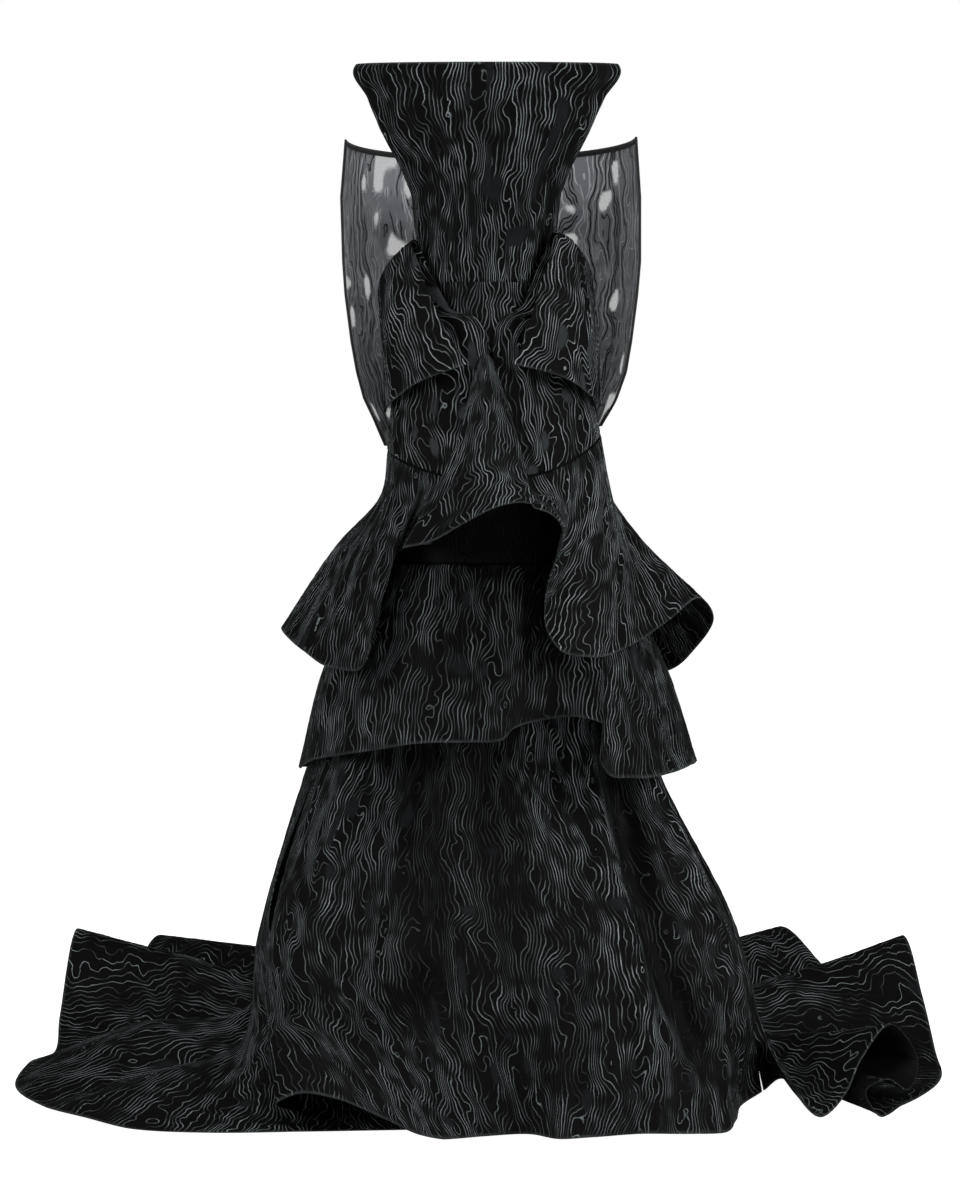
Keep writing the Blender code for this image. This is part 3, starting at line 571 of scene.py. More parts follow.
        def between(start: int, end: int, fine: bool) -> list[int]:
            """The places from start up to, but not including, end."""
            direction = 1 if end > start else -1
            return list(range(start, end, direction)) if fine else [start]

        walk = [(row, low) for row in between(low_row, high_row, low == 0)]
        walk += [(high_row, column) for column in between(low, high, high_row == rows - 1)]
        walk += [(row, high) for row in between(high_row, low_row, high == columns - 1)]
        walk += [(low_row, column) for column in between(high, low, low_row == 0)]
        return walk

    def declare(self, u: np.ndarray, v: np.ndarray) -> None:
        """Args:
            u: millimetres across the flat cloth.
            v: millimetres along it.
        """
        width = float((u.max(axis=0) - u.min(axis=0)).max()) / 1000
        length = float((v.max(axis=1) - v.min(axis=1)).max()) / 1000
        du = np.diff(u, axis=0)[:, :-1]
        dv = np.diff(v, axis=1)[:-1]
        area = float((du * dv).sum()) / 1e6
        area = min(max(area, 0.31 * width * length), width * length)
        LOG.info("%s: cut %.0f x %.0f mm, area %.3f m2", self.name, width * 1000, length * 1000, area)


def make_mesh(
    name: str,
    points: np.ndarray,
    loops: np.ndarray,
    counts: np.ndarray,
    places: np.ndarray,
    attributes: dict[str, np.ndarray],
) -> bpy.types.Object:
    """A smooth-shaded mesh object at the origin.

    Args:
        name: the piece's name.
        points: its points in metres above the floor.
        loops: the point of each face corner.
        counts: how many corners each face has.
        places: where each point lies on the flat cloth, in metres.
        attributes: one number for each point, by name.

    Returns:
        The new object.
    """
    mesh = bpy.data.meshes.new(name)
    mesh.vertices.add(len(points))
    lowered = points - (0.0, 0.0, WAIST_HEIGHT)
    mesh.vertices.foreach_set("co", lowered.astype(np.float32).reshape(-1))
    mesh.loops.add(len(loops))
    mesh.loops.foreach_set("vertex_index", loops.astype(np.int32))
    mesh.polygons.add(len(counts))
    starts = np.concatenate([[0], np.cumsum(counts)[:-1]])
    mesh.polygons.foreach_set("loop_start", starts.astype(np.int32))
    mesh.update(calc_edges=True)
    mesh.validate()
    volume = signed_volume(lowered, loops, counts)
    if volume < 0:
        mesh.flip_normals()
    corners = np.empty(len(mesh.loops), np.int32)
    mesh.loops.foreach_get("vertex_index", corners)
    layer = mesh.uv_layers.new(name="flat_cloth")
    layer.data.foreach_set("uv", places[corners].astype(np.float32).reshape(-1))
    for key, values in attributes.items():
        attribute = mesh.attributes.new(key, "FLOAT", "POINT")
        attribute.data.foreach_set("value", values.astype(np.float32))
    mesh.polygons.foreach_set("use_smooth", np.ones(len(mesh.polygons), bool))
    obj = bpy.data.objects.new(name, mesh)
    bpy.context.scene.collection.objects.link(obj)
    return obj


def signed_volume(points: np.ndarray, loops: np.ndarray, counts: np.ndarray) -> float:
    """Six times the volume inside the faces.

    Args:
        points: the mesh's points.
        loops: the point of each face corner.
        counts: how many corners each face has.

    Returns:
        The sum, below 0 if the faces point inwards.
    """
    starts = np.concatenate([[0], np.cumsum(counts)[:-1]])
    total = 0.0
    for corner in range(1, int(counts.max()) - 1):
        has = counts > corner + 1
        first = points[loops[starts[has]]]
        second = points[loops[starts[has] + corner]]
        third = points[loops[starts[has] + corner + 1]]
        total += float((first * np.cross(second, third)).sum())
    return total


# Finishes


def linear(colour: str) -> tuple[float, float, float, float]:
    """An sRGB hex colour as linear values with a full alpha.

    Args:
        colour: the colour, as #rrggbb.

    Returns:
        Red, green, blue and alpha.
    """
    values = [int(colour[place : place + 2], 16) / 255 for place in (1, 3, 5)]
    red, green, blue = [c / 12.92 if c <= 0.04045 else ((c + 0.055) / 1.055) ** 2.4 for c in values]
    return red, green, blue, 1.0


def add_node(tree: bpy.types.NodeTree, kind: str, inputs: dict | None = None, **settings) -> bpy.types.Node:
    """Adds a node with its settings and links.

    Args:
        tree: the node tree.
        kind: the node's type name.
        inputs: values or output sockets for its inputs, by name or number.
        **settings: properties of the node.

    Returns:
        The new node.
    """
    node = tree.nodes.new(kind)
    for key, value in settings.items():
        setattr(node, key, value)
    for key, value in (inputs or {}).items():
        if isinstance(value, bpy.types.NodeSocket):
            tree.links.new(value, node.inputs[key])
        else:
            node.inputs[key].default_value = value
    return node


def drawn_lines(tree: bpy.types.NodeTree, width: float) -> bpy.types.NodeSocket:
    """The raised lines as sharp strokes of one width in millimetres, each with a strength of its own.

    Args:
        tree: the material's nodes.
        width: the stroke's half width.

    Returns:
        The socket with the stroke's strength from 0 to 1.
    """
    level, slope, force = (
        add_node(tree, "ShaderNodeAttribute", attribute_name=name).outputs["Fac"]
        for name in ("line_level", "line_slope", "line_force_with_painted_fold_light")
    )
    nearest = add_node(tree, "ShaderNodeMath", {0: level}, operation="ROUND").outputs[0]
    off = add_node(tree, "ShaderNodeMath", {0: level, 1: nearest}, operation="SUBTRACT").outputs[0]
    apart = add_node(tree, "ShaderNodeMath", {0: off}, operation="ABSOLUTE").outputs[0]
    distance = add_node(tree, "ShaderNodeMath", {0: apart, 1: slope}, operation="DIVIDE").outputs[0]
    own = add_node(tree, "ShaderNodeTexWhiteNoise", {"W": nearest}, noise_dimensions="1D").outputs["Value"]
    strength = add_node(tree, "ShaderNodeMapRange", {"Value": own, "To Min": 0.25, "To Max": 1.0})
    stroke = add_node(
        tree,
        "ShaderNodeMapRange",
        {"Value": distance, "From Min": width * 0.2, "From Max": width, "To Min": 1.0, "To Max": 0.0},
        interpolation_type="SMOOTHSTEP",
    )
    product = stroke.outputs["Result"]
    # The force also carries the painted light and shade of the creases.
    for factor in (force, strength.outputs["Result"]):
        product = add_node(tree, "ShaderNodeMath", {0: product, 1: factor}, operation="MULTIPLY").outputs[0]
    return product


@dataclass(frozen=True)
class CloqueFinish:
    """Black cloqué, a double cloth whose shrunk back throws up soft raised lines; the cool light they catch is
    painted into the base colour as a pale crest highlight, also painted along the hems.
    """

    name: str = "black_cloque_double_cloth"
    trough: str = "#040404"
    # The crest colour is a painted highlight: the light that the raised lines catch, drawn into the base
    # colour.
    painted_crest_highlight: str = "#a7b1b4"
    oval: str = "#1d1f21"
    inner: str = "#050505"
    roughness: float = 0.46
    specular: float = 0.13
    line_mm: float = 1.05
    swell_mm: float = 1.05 * 2.2
    ridge_height: float = 0.0026
    # How strongly the painted hem highlight shows.
    hem_highlight_strength: float = 0.2
    weave_mm: float = 0.9
    weave_height: float = 0.0006

    def build(self) -> bpy.types.Material:
        """The material, which reads the raised lines and the ovals from the piece's own attributes.

        Returns:
            The new material.
        """
        material = bpy.data.materials.new(self.name)
        material.use_nodes = True
        tree = material.node_tree
        shader = tree.nodes["Principled BSDF"]
        lines = drawn_lines(tree, self.line_mm)
        swell = drawn_lines(tree, self.swell_mm)
        oval, inner, hem = (
            add_node(tree, "ShaderNodeAttribute", attribute_name=name).outputs["Fac"]
            for name in ("smooth_oval", "inner_face", "hem_edge")
        )
        place = add_node(tree, "ShaderNodeUVMap", uv_map="flat_cloth").outputs["UV"]
        patch, fleck, weave = (
            add_node(
                tree, "ShaderNodeTexNoise", {"Vector": place, **look}, noise_dimensions="2D"
            ).outputs["Fac"]
            for look in (
                {"Scale": 18.0, "Detail": 3.0, "Roughness": 0.6},
                {"Scale": 420.0, "Detail": 2.0},
                {"Scale": 1000 / self.weave_mm, "Detail": 3.0, "Roughness": 0.65},
            )
        )
        # Painted highlight along the hems: the crest highlight colour is drawn over the hem edges, patchy by
        # the noise.
        patchy_hem_highlight = add_node(tree, "ShaderNodeMath", {0: patch, 1: self.hem_highlight_strength}, operation="MULTIPLY").outputs[0]
        painted_hem_highlight = add_node(tree, "ShaderNodeMath", {0: hem, 1: patchy_hem_highlight}, operation="MULTIPLY").outputs[0]
        stroke = add_node(tree, "ShaderNodeMath", {0: lines, 1: painted_hem_highlight}, operation="MAXIMUM").outputs[0]
        # Painted highlight: the raised lines and hems in the pale crest colour over the black ground, then
        # ovals, unevenness, flecks and the plain inner face
        colour = linear(self.trough)
        for factor, over, blend in (
            (stroke, linear(self.painted_crest_highlight), "MIX"),
            (oval, linear(self.oval), "MIX"),
            (0.5, patch, "OVERLAY"),
            (0.4, fleck, "OVERLAY"),
            (inner, linear(self.inner), "MIX"),
        ):
            settings = {"data_type": "RGBA", "blend_type": blend}
            colour = add_node(tree, "ShaderNodeMix", {0: factor, 6: colour, 7: over}, **settings).outputs[2]
        tree.links.new(colour, shader.inputs["Base Color"])
        rough = add_node(
            tree,
            "ShaderNodeMapRange",
            {"Value": stroke, "To Min": self.roughness + 0.22, "To Max": self.roughness - 0.06},
        )
        tree.links.new(rough.outputs["Result"], shader.inputs["Roughness"])
        bump = add_node(
            tree, "ShaderNodeBump", {"Height": weave, "Strength": 0.3, "Distance": self.weave_height}
        )
        ridge = add_node(
            tree,
            "ShaderNodeBump",
            {
                "Height": swell,
                "Strength": 1.0,
                "Distance": self.ridge_height,
                "Normal": bump.outputs["Normal"],
            },
        )
        tree.links.new(ridge.outputs["Normal"], shader.inputs["Normal"])
        shader.inputs["Specular IOR Level"].default_value = self.specular
        return material


@dataclass(frozen=True)
class SheerFinish:
    """Sheer cloqué, one thin layer: dark and pale shrunk lines, with clear windows where the ovals are."""

    name: str = "sheer_grey_cloque_layer"
    ground: str = "#a2a6ac"
    dark_line: str = "#030304"
    pale_line: str = "#eef2f6"
    window: str = "#b4b8bd"
    window_alpha: float = 0.38
    pale_share: float = 0.5
    line_mm: float = 2.1
    roughness: float = 0.58

    def build(self) -> bpy.types.Material:
        """The material, see-through between its lines and most of all in its ovals.

        Returns:
            The new material.
        """
        material = bpy.data.materials.new(self.name)
        material.use_nodes = True
        tree = material.node_tree
        shader = tree.nodes["Principled BSDF"]
        stroke = drawn_lines(tree, self.line_mm)
        level, oval = (
            add_node(tree, "ShaderNodeAttribute", attribute_name=name).outputs["Fac"]
            for name in ("line_level", "smooth_oval")
        )
        place = add_node(tree, "ShaderNodeUVMap", uv_map="flat_cloth")
        patch = add_node(
            tree,
            "ShaderNodeTexNoise",
            {"Vector": place.outputs["UV"], "Scale": 26.0, "Detail": 2.0, "Roughness": 0.55, "Distortion": 0.5},
            noise_dimensions="2D",
        )
        nearest = add_node(tree, "ShaderNodeMath", {0: level}, operation="ROUND").outputs[0]
        shifted = add_node(tree, "ShaderNodeMath", {0: nearest, 1: 0.37}, operation="ADD").outputs[0]
        own = add_node(tree, "ShaderNodeTexWhiteNoise", {"W": shifted}, noise_dimensions="1D").outputs["Value"]
        pale = add_node(
            tree, "ShaderNodeMath", {0: own, 1: 1.0 - self.pale_share}, operation="GREATER_THAN"
        ).outputs[0]
        strength = add_node(
            tree, "ShaderNodeMapRange", {"Value": stroke, "From Min": 0.03, "From Max": 0.22}
        ).outputs["Result"]
        line = add_node(
            tree,
            "ShaderNodeMix",
            {0: pale, 6: linear(self.dark_line), 7: linear(self.pale_line)},
            data_type="RGBA",
        ).outputs[2]
        colour = linear(self.ground)
        for factor, over in ((strength, line), (oval, linear(self.window))):
            layer = add_node(tree, "ShaderNodeMix", {0: factor, 6: colour, 7: over}, data_type="RGBA")
            colour = layer.outputs[2]
        tree.links.new(colour, shader.inputs["Base Color"])
        alpha = add_node(
            tree,
            "ShaderNodeMapRange",
            {"Value": patch.outputs["Fac"], "From Min": 0.3, "From Max": 0.7, "To Min": 0.97, "To Max": 0.78},
        ).outputs["Result"]
        for factor, over in ((strength, 1.0), (oval, self.window_alpha)):
            alpha = add_node(tree, "ShaderNodeMix", {"Factor": factor, "A": alpha, "B": over}).outputs["Result"]
        tree.links.new(alpha, shader.inputs["Alpha"])
        shader.inputs["Roughness"].default_value = self.roughness
        shader.inputs["Specular IOR Level"].default_value = 0.35
        shader.inputs["Sheen Weight"].default_value = 0.15
        return material


@dataclass(frozen=True)
class TapeFinish:
    """Black woven binding tape, folded over the sheer edge and topstitched."""

    name: str = "black_woven_binding_tape"
    colour: str = "#101112"
    thread: str = "#2b2d2f"
    pitch_mm: float = 2.2

    def build(self) -> bpy.types.Material:
        """The material, with cross ribs at the tape's pitch.

        Returns:
            The new material.
        """
        material = bpy.data.materials.new(self.name)
        material.use_nodes = True
        tree = material.node_tree
        shader = tree.nodes["Principled BSDF"]
        place = add_node(tree, "ShaderNodeUVMap", uv_map="flat_cloth")
        rib = add_node(
            tree,
            "ShaderNodeTexWave",
            {
                "Vector": place.outputs["UV"],
                "Scale": 1000 / self.pitch_mm / 6.283 * 3.1416,
                "Distortion": 1.2,
            },
            bands_direction="Y",
        )
        colour = add_node(
            tree,
            "ShaderNodeMix",
            {0: rib.outputs["Fac"], 6: linear(self.colour), 7: linear(self.thread)},
            data_type="RGBA",
        )
        tree.links.new(colour.outputs[2], shader.inputs["Base Color"])
        bump = add_node(
            tree, "ShaderNodeBump", {"Height": rib.outputs["Fac"], "Strength": 0.4, "Distance": 0.0005}
        )
        tree.links.new(bump.outputs["Normal"], shader.inputs["Normal"])
        shader.inputs["Roughness"].default_value = 0.7
        shader.inputs["Sheen Weight"].default_value = 0.2
        return material


@dataclass
class Finishes:
    """The gown's finishes, built once."""

    cloque: bpy.types.Material
    patched: bpy.types.Material
    inner: bpy.types.Material
    sheer: bpy.types.Material
    tape: bpy.types.Material

    @classmethod
    def build(cls) -> "Finishes":
        """Builds each finish."""
        # The patched copy: pale ovals and a slightly brighter painted crest highlight.
        patched = CloqueFinish("black_cloque_with_pale_ovals", oval="#3d4143", painted_crest_highlight="#b4bdc0")
        # A shaded copy of the cloque for the hip yoke under the peplum's arch: crest highlight and ovals
        # darkened, painted shade.
        inner = CloqueFinish("black_cloque_band_painted_in_shade", painted_crest_highlight="#1e2022", oval="#08090a")
        finishes = (CloqueFinish(), patched, inner, SheerFinish(), TapeFinish())
        return cls(*(finish.build() for finish in finishes))


# Pieces


@dataclass
class Bodice:
    """The fan-shaped front, the midriff band under it, the plain back and the hip yoke inside."""

    spacing: tuple[float, float] = (0.0022, 0.0042)
    hidden: tuple[float, float] = (0.0034, 0.006)
    fan_girth: float = 0.42
    back_girth: float = 0.36
    band_radius: float = 0.14
    fan: tuple = (
        (1.1833, -0.006, 0.1020, -0.0930, 0.000),
        (1.245, -0.006, 0.1030, -0.0980, 0.000),
        (1.282, -0.006, 0.1060, -0.1060, -0.004),
        (1.316, -0.006, 0.1100, -0.1120, -0.012),
        (1.345, -0.0065, 0.1210, -0.1180, -0.030),
        (1.364, -0.0064, 0.1310, -0.1210, -0.050),
        (1.387, -0.0070, 0.1440, -0.1240, -0.070),
        (1.418, -0.0070, 0.1585, -0.1260, -0.086),
        (1.447, -0.0062, 0.1715, -0.1270, -0.096),
        (1.489, -0.0043, 0.1920, -0.1280, -0.106),
        (1.494, -0.0040, 0.1890, -0.1280, -0.107),
    )

    def fan_grid(self) -> np.ndarray:
        """The fan's outer face, from the bust seam to the straight top edge.

        Returns:
            Points of shape (row, column, 3).
        """
        gaps = np.diff([row[0] for row in self.fan])
        steps = [max(1, math.ceil(gap / self.spacing[1])) for gap in gaps]
        rows = spline(self.fan, steps)
        turns = np.radians(np.linspace(-90.0, 90.0, int(self.fan_girth / self.spacing[0])))[:, None]
        height, centre, half_width, front_y, side_y = rows.T[:, None, :]
        across = centre + half_width * np.sin(turns)
        depth = side_y + (front_y - side_y) * np.cos(turns)
        return np.stack([across, depth, np.broadcast_to(height, across.shape)], axis=-1)

    def back_grid(self) -> np.ndarray:
        """The back's outer face, from the yoke to its straight top edge.

        Returns:
            Points of shape (row, column, 3).
        """
        turns = np.radians(np.linspace(90.0, 270.0, int(self.back_girth / self.hidden[0])))[:, None]
        height = np.arange(YOKE_TOP + SEAM, BACK_TOP, self.hidden[1])
        height = np.append(height, BACK_TOP)[None]
        centre, half_width, _, back = Figure.row(height)
        side = np.interp(height, [1.245, 1.282, 1.316, 1.345], [0.0, -0.004, -0.012, -0.030])
        tuck = np.interp(height, [1.0, 1.05], [1.5 * LAYER, 0.0])
        across = centre + (half_width - tuck) * np.sin(turns)
        depth = side + SEAM_AT_SIDE - (back - tuck - side) * np.cos(turns)
        return np.stack([across, depth, np.broadcast_to(height, across.shape)], axis=-1)

    def band_grid(
        self,
        angles: tuple[float, float],
        heights: tuple[float, float],
        away: float,
        spacing: tuple[float, float],
    ) -> np.ndarray:
        """A close band round the figure.

        Args:
            angles: degrees from the centre front at its two ends.
            heights: metres above the floor at its two edges.
            away: metres off the figure.
            spacing: the longest step across and along, in metres.

        Returns:
            The band's outer face, of shape (row, column, 3).
        """
        reach = math.radians(angles[1] - angles[0]) * self.band_radius
        turn = np.linspace(*angles, int(reach / spacing[0]))[:, None]
        height = np.linspace(*heights, int((heights[1] - heights[0]) / spacing[1]) + 2)[None]
        return Figure.point(turn, height, away)

    def build(self, finishes: Finishes) -> None:
        """Builds and dresses the four pieces.

        Args:
            finishes: the gown's materials.
        """
        fan = self.fan_grid()
        long_lines = Crinkle(spacing=5.6, swell=1.4, lobe=(22.0, 64.0), boldness=1.2, seed=3)
        Panel(
            "fan_bodice_front",
            "bodice_front",
            fan,
            normals_of(fan),
            crinkle=long_lines,
            free_edges=(False, False, False, True),
            rests_on=("midriff_front",),
        ).build(finishes.cloque)
        band = self.band_grid((-90.0, 90.0), (MIDRIFF_SEAM, BUST_SEAM), 0.0, self.spacing)
        Panel(
            "midriff_band",
            "midriff_front",
            band,
            normals_of(band),
            crinkle=Crinkle(spacing=5.4, swell=1.3, seed=5),
            free_edges=(False, False, False, False),
        ).build(finishes.cloque)
        back = self.back_grid()
        Panel(
            "plain_bodice_back",
            "bodice_back",
            back,
            normals_of(back),
            crinkle=Crinkle(seed=9),
            free_edges=(False, False, False, False),
        ).build(finishes.cloque)
        # The hip yoke takes the darkened copy of the cloque: painted shade under the arch.
        yoke = self.band_grid((-179.95, 179.95), (YOKE_BOTTOM, YOKE_TOP), -LAYER, (0.004, 0.007))
        Panel(
            "hip_yoke_band",
            "hip_yoke",
            yoke,
            normals_of(yoke),
            relief_mm=0.6,
            crinkle=Crinkle(seed=13),
            free_edges=(False, False, False, False),
        ).build(finishes.inner)


@dataclass
class Shield:
    """The sheer layer that stands off the back, with tape over its top and front edges."""

    spacing: tuple[float, float] = (0.0037, 0.0048)
    girth: float = 0.66
    length: float = 0.44
    top: tuple[float, float] = (1.394, 1.398)
    base: tuple[float, float] = (0.948, 0.977)
    first_share: float = 0.07
    seam_theta: tuple[float, ...] = (0.0, 2.2, 30.0, 42.0, 138.0, 150.0, 177.8, 180.0)
    seam_angle: tuple[float, ...] = (87.0, 90.6, 115.5, 129.0, 231.0, 244.5, 269.4, 273.0)
    seam_away: tuple[float, ...] = (0.0064, 0.0064, 0.0056, 0.0012, 0.0012, 0.0056, 0.0064, 0.0064)
    rows: tuple = (
        (0.940, 0.0060, 0.1630, -0.020, 0.143),
        (0.955, 0.0040, 0.1635, -0.020, 0.145),
        (0.984, 0.0000, 0.1700, -0.030, 0.153),
        (1.017, 0.0004, 0.1858, -0.038, 0.163),
        (1.055, 0.0020, 0.1975, -0.043, 0.172),
        (1.100, 0.0018, 0.2052, -0.046, 0.180),
        (1.168, 0.0018, 0.2138, -0.048, 0.190),
        (1.216, 0.0022, 0.2175, -0.048, 0.195),
        (1.310, 0.0008, 0.2190, -0.045, 0.195),
        (1.398, 0.0014, 0.2130, -0.038, 0.185),
    )

    def grid(self) -> np.ndarray:
        """The shield's outer face, from its seam on the figure to the top edge.

        Returns:
            Points of shape (row, column, 3).
        """
        theta = np.linspace(0.0, 180.0, int(self.girth / self.spacing[0]))[:, None]
        share = np.linspace(0.0, 1.0, int(self.length / self.spacing[1]))[None]
        turn = np.radians(theta)
        tilt = np.cos(turn)
        base = sum(self.base) / 2 + (self.base[1] - self.base[0]) / 2 * tilt
        top = sum(self.top) / 2 + (self.top[1] - self.top[0]) / 2 * tilt
        above = base + (top - base) * np.maximum(share, self.first_share)
        table = np.array(self.rows)
        centre, half_width, edge_y, back_y = [
            np.interp(above, table[:, 0], table[:, column]) for column in range(1, 5)
        ]
        free = np.stack(
            [centre + half_width * np.cos(turn), edge_y + (back_y - edge_y) * np.sin(turn), above], axis=-1
        )
        angle = np.interp(theta, self.seam_theta, self.seam_angle)
        away = np.interp(theta, self.seam_theta, self.seam_away)
        seam = Figure.point(angle, base, away)
        blend = np.clip(share / self.first_share, 0.0, 1.0)[..., None]
        return seam + (free - seam) * blend

    def build(self, finishes: Finishes) -> None:
        """Builds the shield and its three tapes.

        Args:
            finishes: the gown's materials.
        """
        grid = self.grid()
        normal = normals_of(grid)
        swirl = Crinkle(spacing=8.6, swell=2.0, wander=1.1, lobe=(34.0, 50.0), smooth_level=0.66, seed=21)
        Panel(
            "sheer_back_shield",
            "back_shield",
            grid,
            normal,
            thickness=SHEER,
            relief_mm=0.7,
            crinkle=swirl,
            faces=Face.BOTH,
            free_edges=(False, False, False, False),
            slot="sheer_cloque",
            held="hung",
            rests_on=("bodice_back",),
        ).build(finishes.sheer)
        for name, node, row, inward in (
            ("shield_tape_right", "shield_binding_right", 0, 3),
            ("shield_tape_left", "shield_binding_left", -1, -4),
        ):
            into = grid[inward] - grid[row]
            self.tape(name, node, grid[row], into, normal[row], finishes.tape)
        into = grid[:, -4] - grid[:, -1]
        self.tape("shield_tape_top", "shield_binding_top", grid[:, -1], into, normal[:, -1], finishes.tape)

    def tape(
        self,
        name: str,
        node: str,
        edge: np.ndarray,
        into: np.ndarray,
        normal: np.ndarray,
        finish: bpy.types.Material,
    ) -> None:
        """A tape folded over an edge, swept along it as a rounded channel.

        Args:
            name: the piece's name.
            node: the solid that it stands for.
            edge: points along the edge.
            into: directions from the edge into the cloth.
            normal: the cloth's outward normals there.
            finish: the tape's material.
        """
        into = into / np.linalg.norm(into, axis=1, keepdims=True)
        over, under = SEAM, -SHEER - SEAM
        half = (over - under) / 2 + TAPE
        middle = (over + under) / 2
        arc = np.radians(np.linspace(90.0, 270.0, 9))
        section = [(TAPE_WIDTH, over + TAPE)]
        section += [(half * 0.9 * math.cos(turn) + SEAM, middle + half * math.sin(turn)) for turn in arc]
        section += [(TAPE_WIDTH, under - TAPE), (TAPE_WIDTH, under)]
        section += [(0.0, under), (0.0, over), (TAPE_WIDTH, over)]
        rows = np.stack([edge + into * depth + normal * lift for depth, lift in section], axis=1)
        count, corners = rows.shape[:2]
        index = np.arange(count * corners).reshape(count, corners)
        following = np.roll(index, -1, axis=1)
        quads = np.stack([index[:-1], following[:-1], following[1:], index[1:]], axis=-1).reshape(-1, 4)
        loops = np.concatenate([quads.reshape(-1), index[0][::-1], index[-1]])
        counts = np.concatenate([np.full(len(quads), 4), [corners, corners]])
        length = np.concatenate([[0.0], np.linalg.norm(np.diff(edge, axis=0), axis=1).cumsum()])
        around = np.array([depth for depth, _ in section])
        places = np.stack(np.broadcast_arrays(around[None], length[:, None]), axis=-1).reshape(-1, 2)
        obj = make_mesh(name, rows.reshape(-1, 3), loops, counts, places, {})
        obj.data.materials.append(finish)
        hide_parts(node)
        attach(obj, "root")


@dataclass
class HipPetals:
    """The hip wraps, which rise round the sides, fold over and fall forward as flaps."""

    RISE_STEPS = (23, 23, 30, 32)
    FALL_STEPS = (30, 34)
    ACROSS_STEPS = (16, 20, 25, 28, 30)

    left: tuple = (
        (1.2, 0.897, 1.2, 0.0025, 30, 1.150, 0.008, 58, 1.240, 0.014, 36, 1.150, 0.026, 14, 1.062, 0.026),
        (14, 0.900, 14, 0.0028, 41, 1.145, 0.014, 68, 1.224, 0.026, 46, 1.140, 0.042, 26, 1.050, 0.034),
        (28, 0.904, 28, 0.0040, 54, 1.135, 0.022, 79, 1.203, 0.038, 60, 1.125, 0.050, 42, 1.036, 0.030),
        (48, 0.918, 48, 0.0070, 70, 1.120, 0.026, 90, 1.180, 0.044, 76, 1.105, 0.044, 60, 1.016, 0.022),
        (70, 0.933, 72, 0.0080, 88, 1.100, 0.026, 103, 1.150, 0.040, 92, 1.085, 0.036, 80, 1.005, 0.016),
        (98, 0.945, 100, 0.0060, 108, 1.075, 0.018, 116, 1.110, 0.026, 108, 1.060, 0.026, 99, 0.998, 0.016),
    )
    right: tuple = (
        (1.2, 0.897, 1.2, 0.0025, 28, 1.155, 0.008, 54, 1.252, 0.014, 31, 1.150, 0.026, 12, 1.062, 0.026),
        (14, 0.902, 14, 0.0028, 40, 1.150, 0.014, 65, 1.240, 0.026, 43, 1.145, 0.042, 26, 1.053, 0.034),
        (28, 0.910, 28, 0.0040, 54, 1.140, 0.022, 78, 1.214, 0.038, 58, 1.125, 0.050, 42, 1.040, 0.032),
        (48, 0.932, 48, 0.0070, 70, 1.125, 0.026, 90, 1.184, 0.044, 75, 1.105, 0.046, 60, 1.018, 0.024),
        (70, 0.955, 72, 0.0080, 88, 1.105, 0.026, 103, 1.155, 0.040, 92, 1.085, 0.036, 79, 1.007, 0.017),
        (98, 0.974, 100, 0.0060, 108, 1.080, 0.018, 116, 1.115, 0.026, 108, 1.062, 0.026, 99, 1.008, 0.016),
    )

    @classmethod
    def guide(cls, row: tuple) -> np.ndarray:
        """Points up the petal, round its fold and down the flap.

        Args:
            row: one row of the petal's table.

        Returns:
            The points, as (degrees, centimetres above the floor, centimetres off the figure).
        """
        base_angle, base_height, waist_angle, waist_away, rise_angle, rise_height, rise_away = row[:7]
        fold_angle, fold_height, fold_away, flap_angle, flap_height, flap_away = row[7:13]
        hem_angle, hem_height, hem_away = row[13:]
        waist_height = MIDRIFF_SEAM - 0.003
        rise = spline(
            [
                (base_angle, base_height * 100, CLOTH * 100),
                (
                    base_angle * 0.5 + waist_angle * 0.5,
                    (base_height + waist_height) * 50,
                    (CLOTH + waist_away) * 50 + 0.3 * (base_angle > 20),
                ),
                (waist_angle, waist_height * 100, waist_away * 100),
                (rise_angle, rise_height * 100, rise_away * 100),
                (fold_angle, fold_height * 100, fold_away * 100),
            ],
            cls.RISE_STEPS,
        )
        turns = np.radians(np.arange(15.0, 180.0, 15.0))
        fold = np.stack(
            [
                np.full(len(turns), float(fold_angle)),
                fold_height * 100 + np.sin(turns) * FOLD_RADIUS * 100,
                (fold_away + FOLD_RADIUS * (1 - np.cos(turns))) * 100,
            ],
            axis=1,
        )
        fall = spline(
            [
                (fold_angle, fold_height * 100, (fold_away + 2 * FOLD_RADIUS) * 100),
                (flap_angle, flap_height * 100, flap_away * 100),
                (hem_angle, hem_height * 100, hem_away * 100),
            ],
            cls.FALL_STEPS,
        )
        return np.concatenate([rise, fold, fall])

    def grid(self, table: tuple, side: int) -> np.ndarray:
        """The petal's outer face on one side, -1 for the left and 1 for the right.

        Args:
            table: the petal's rows.
            side: -1 or 1.

        Returns:
            Points of shape (row, column, 3).
        """
        guides = np.array([self.guide(row) for row in table])
        columns = [spline(guides[:, column], self.ACROSS_STEPS) for column in range(guides.shape[1])]
        lines = np.stack(columns, axis=1)
        return Figure.point(side * lines[..., 0], lines[..., 1] / 100, lines[..., 2] / 100)

    def build(self, finishes: Finishes) -> None:
        """Builds and dresses both petals.

        Args:
            finishes: the gown's materials.
        """
        for name, table, side, seed in (("left", self.left, -1, 31), ("right", self.right, 1, 37)):
            grid = self.grid(table, side)
            Panel(
                f"{name}_hip_petal",
                f"hip_petal_{name}",
                grid,
                normals_of(grid),
                crinkle=Crinkle(
                    spacing=5.8, lobe=(24.0, 44.0), swell=2.0, smooth_level=0.74, boldness=1.3, seed=seed
                ),
                faces=Face.BOTH,
                free_edges=(False, True, False, True),
                rests_on=("midriff_front",),
            ).build(finishes.patched)


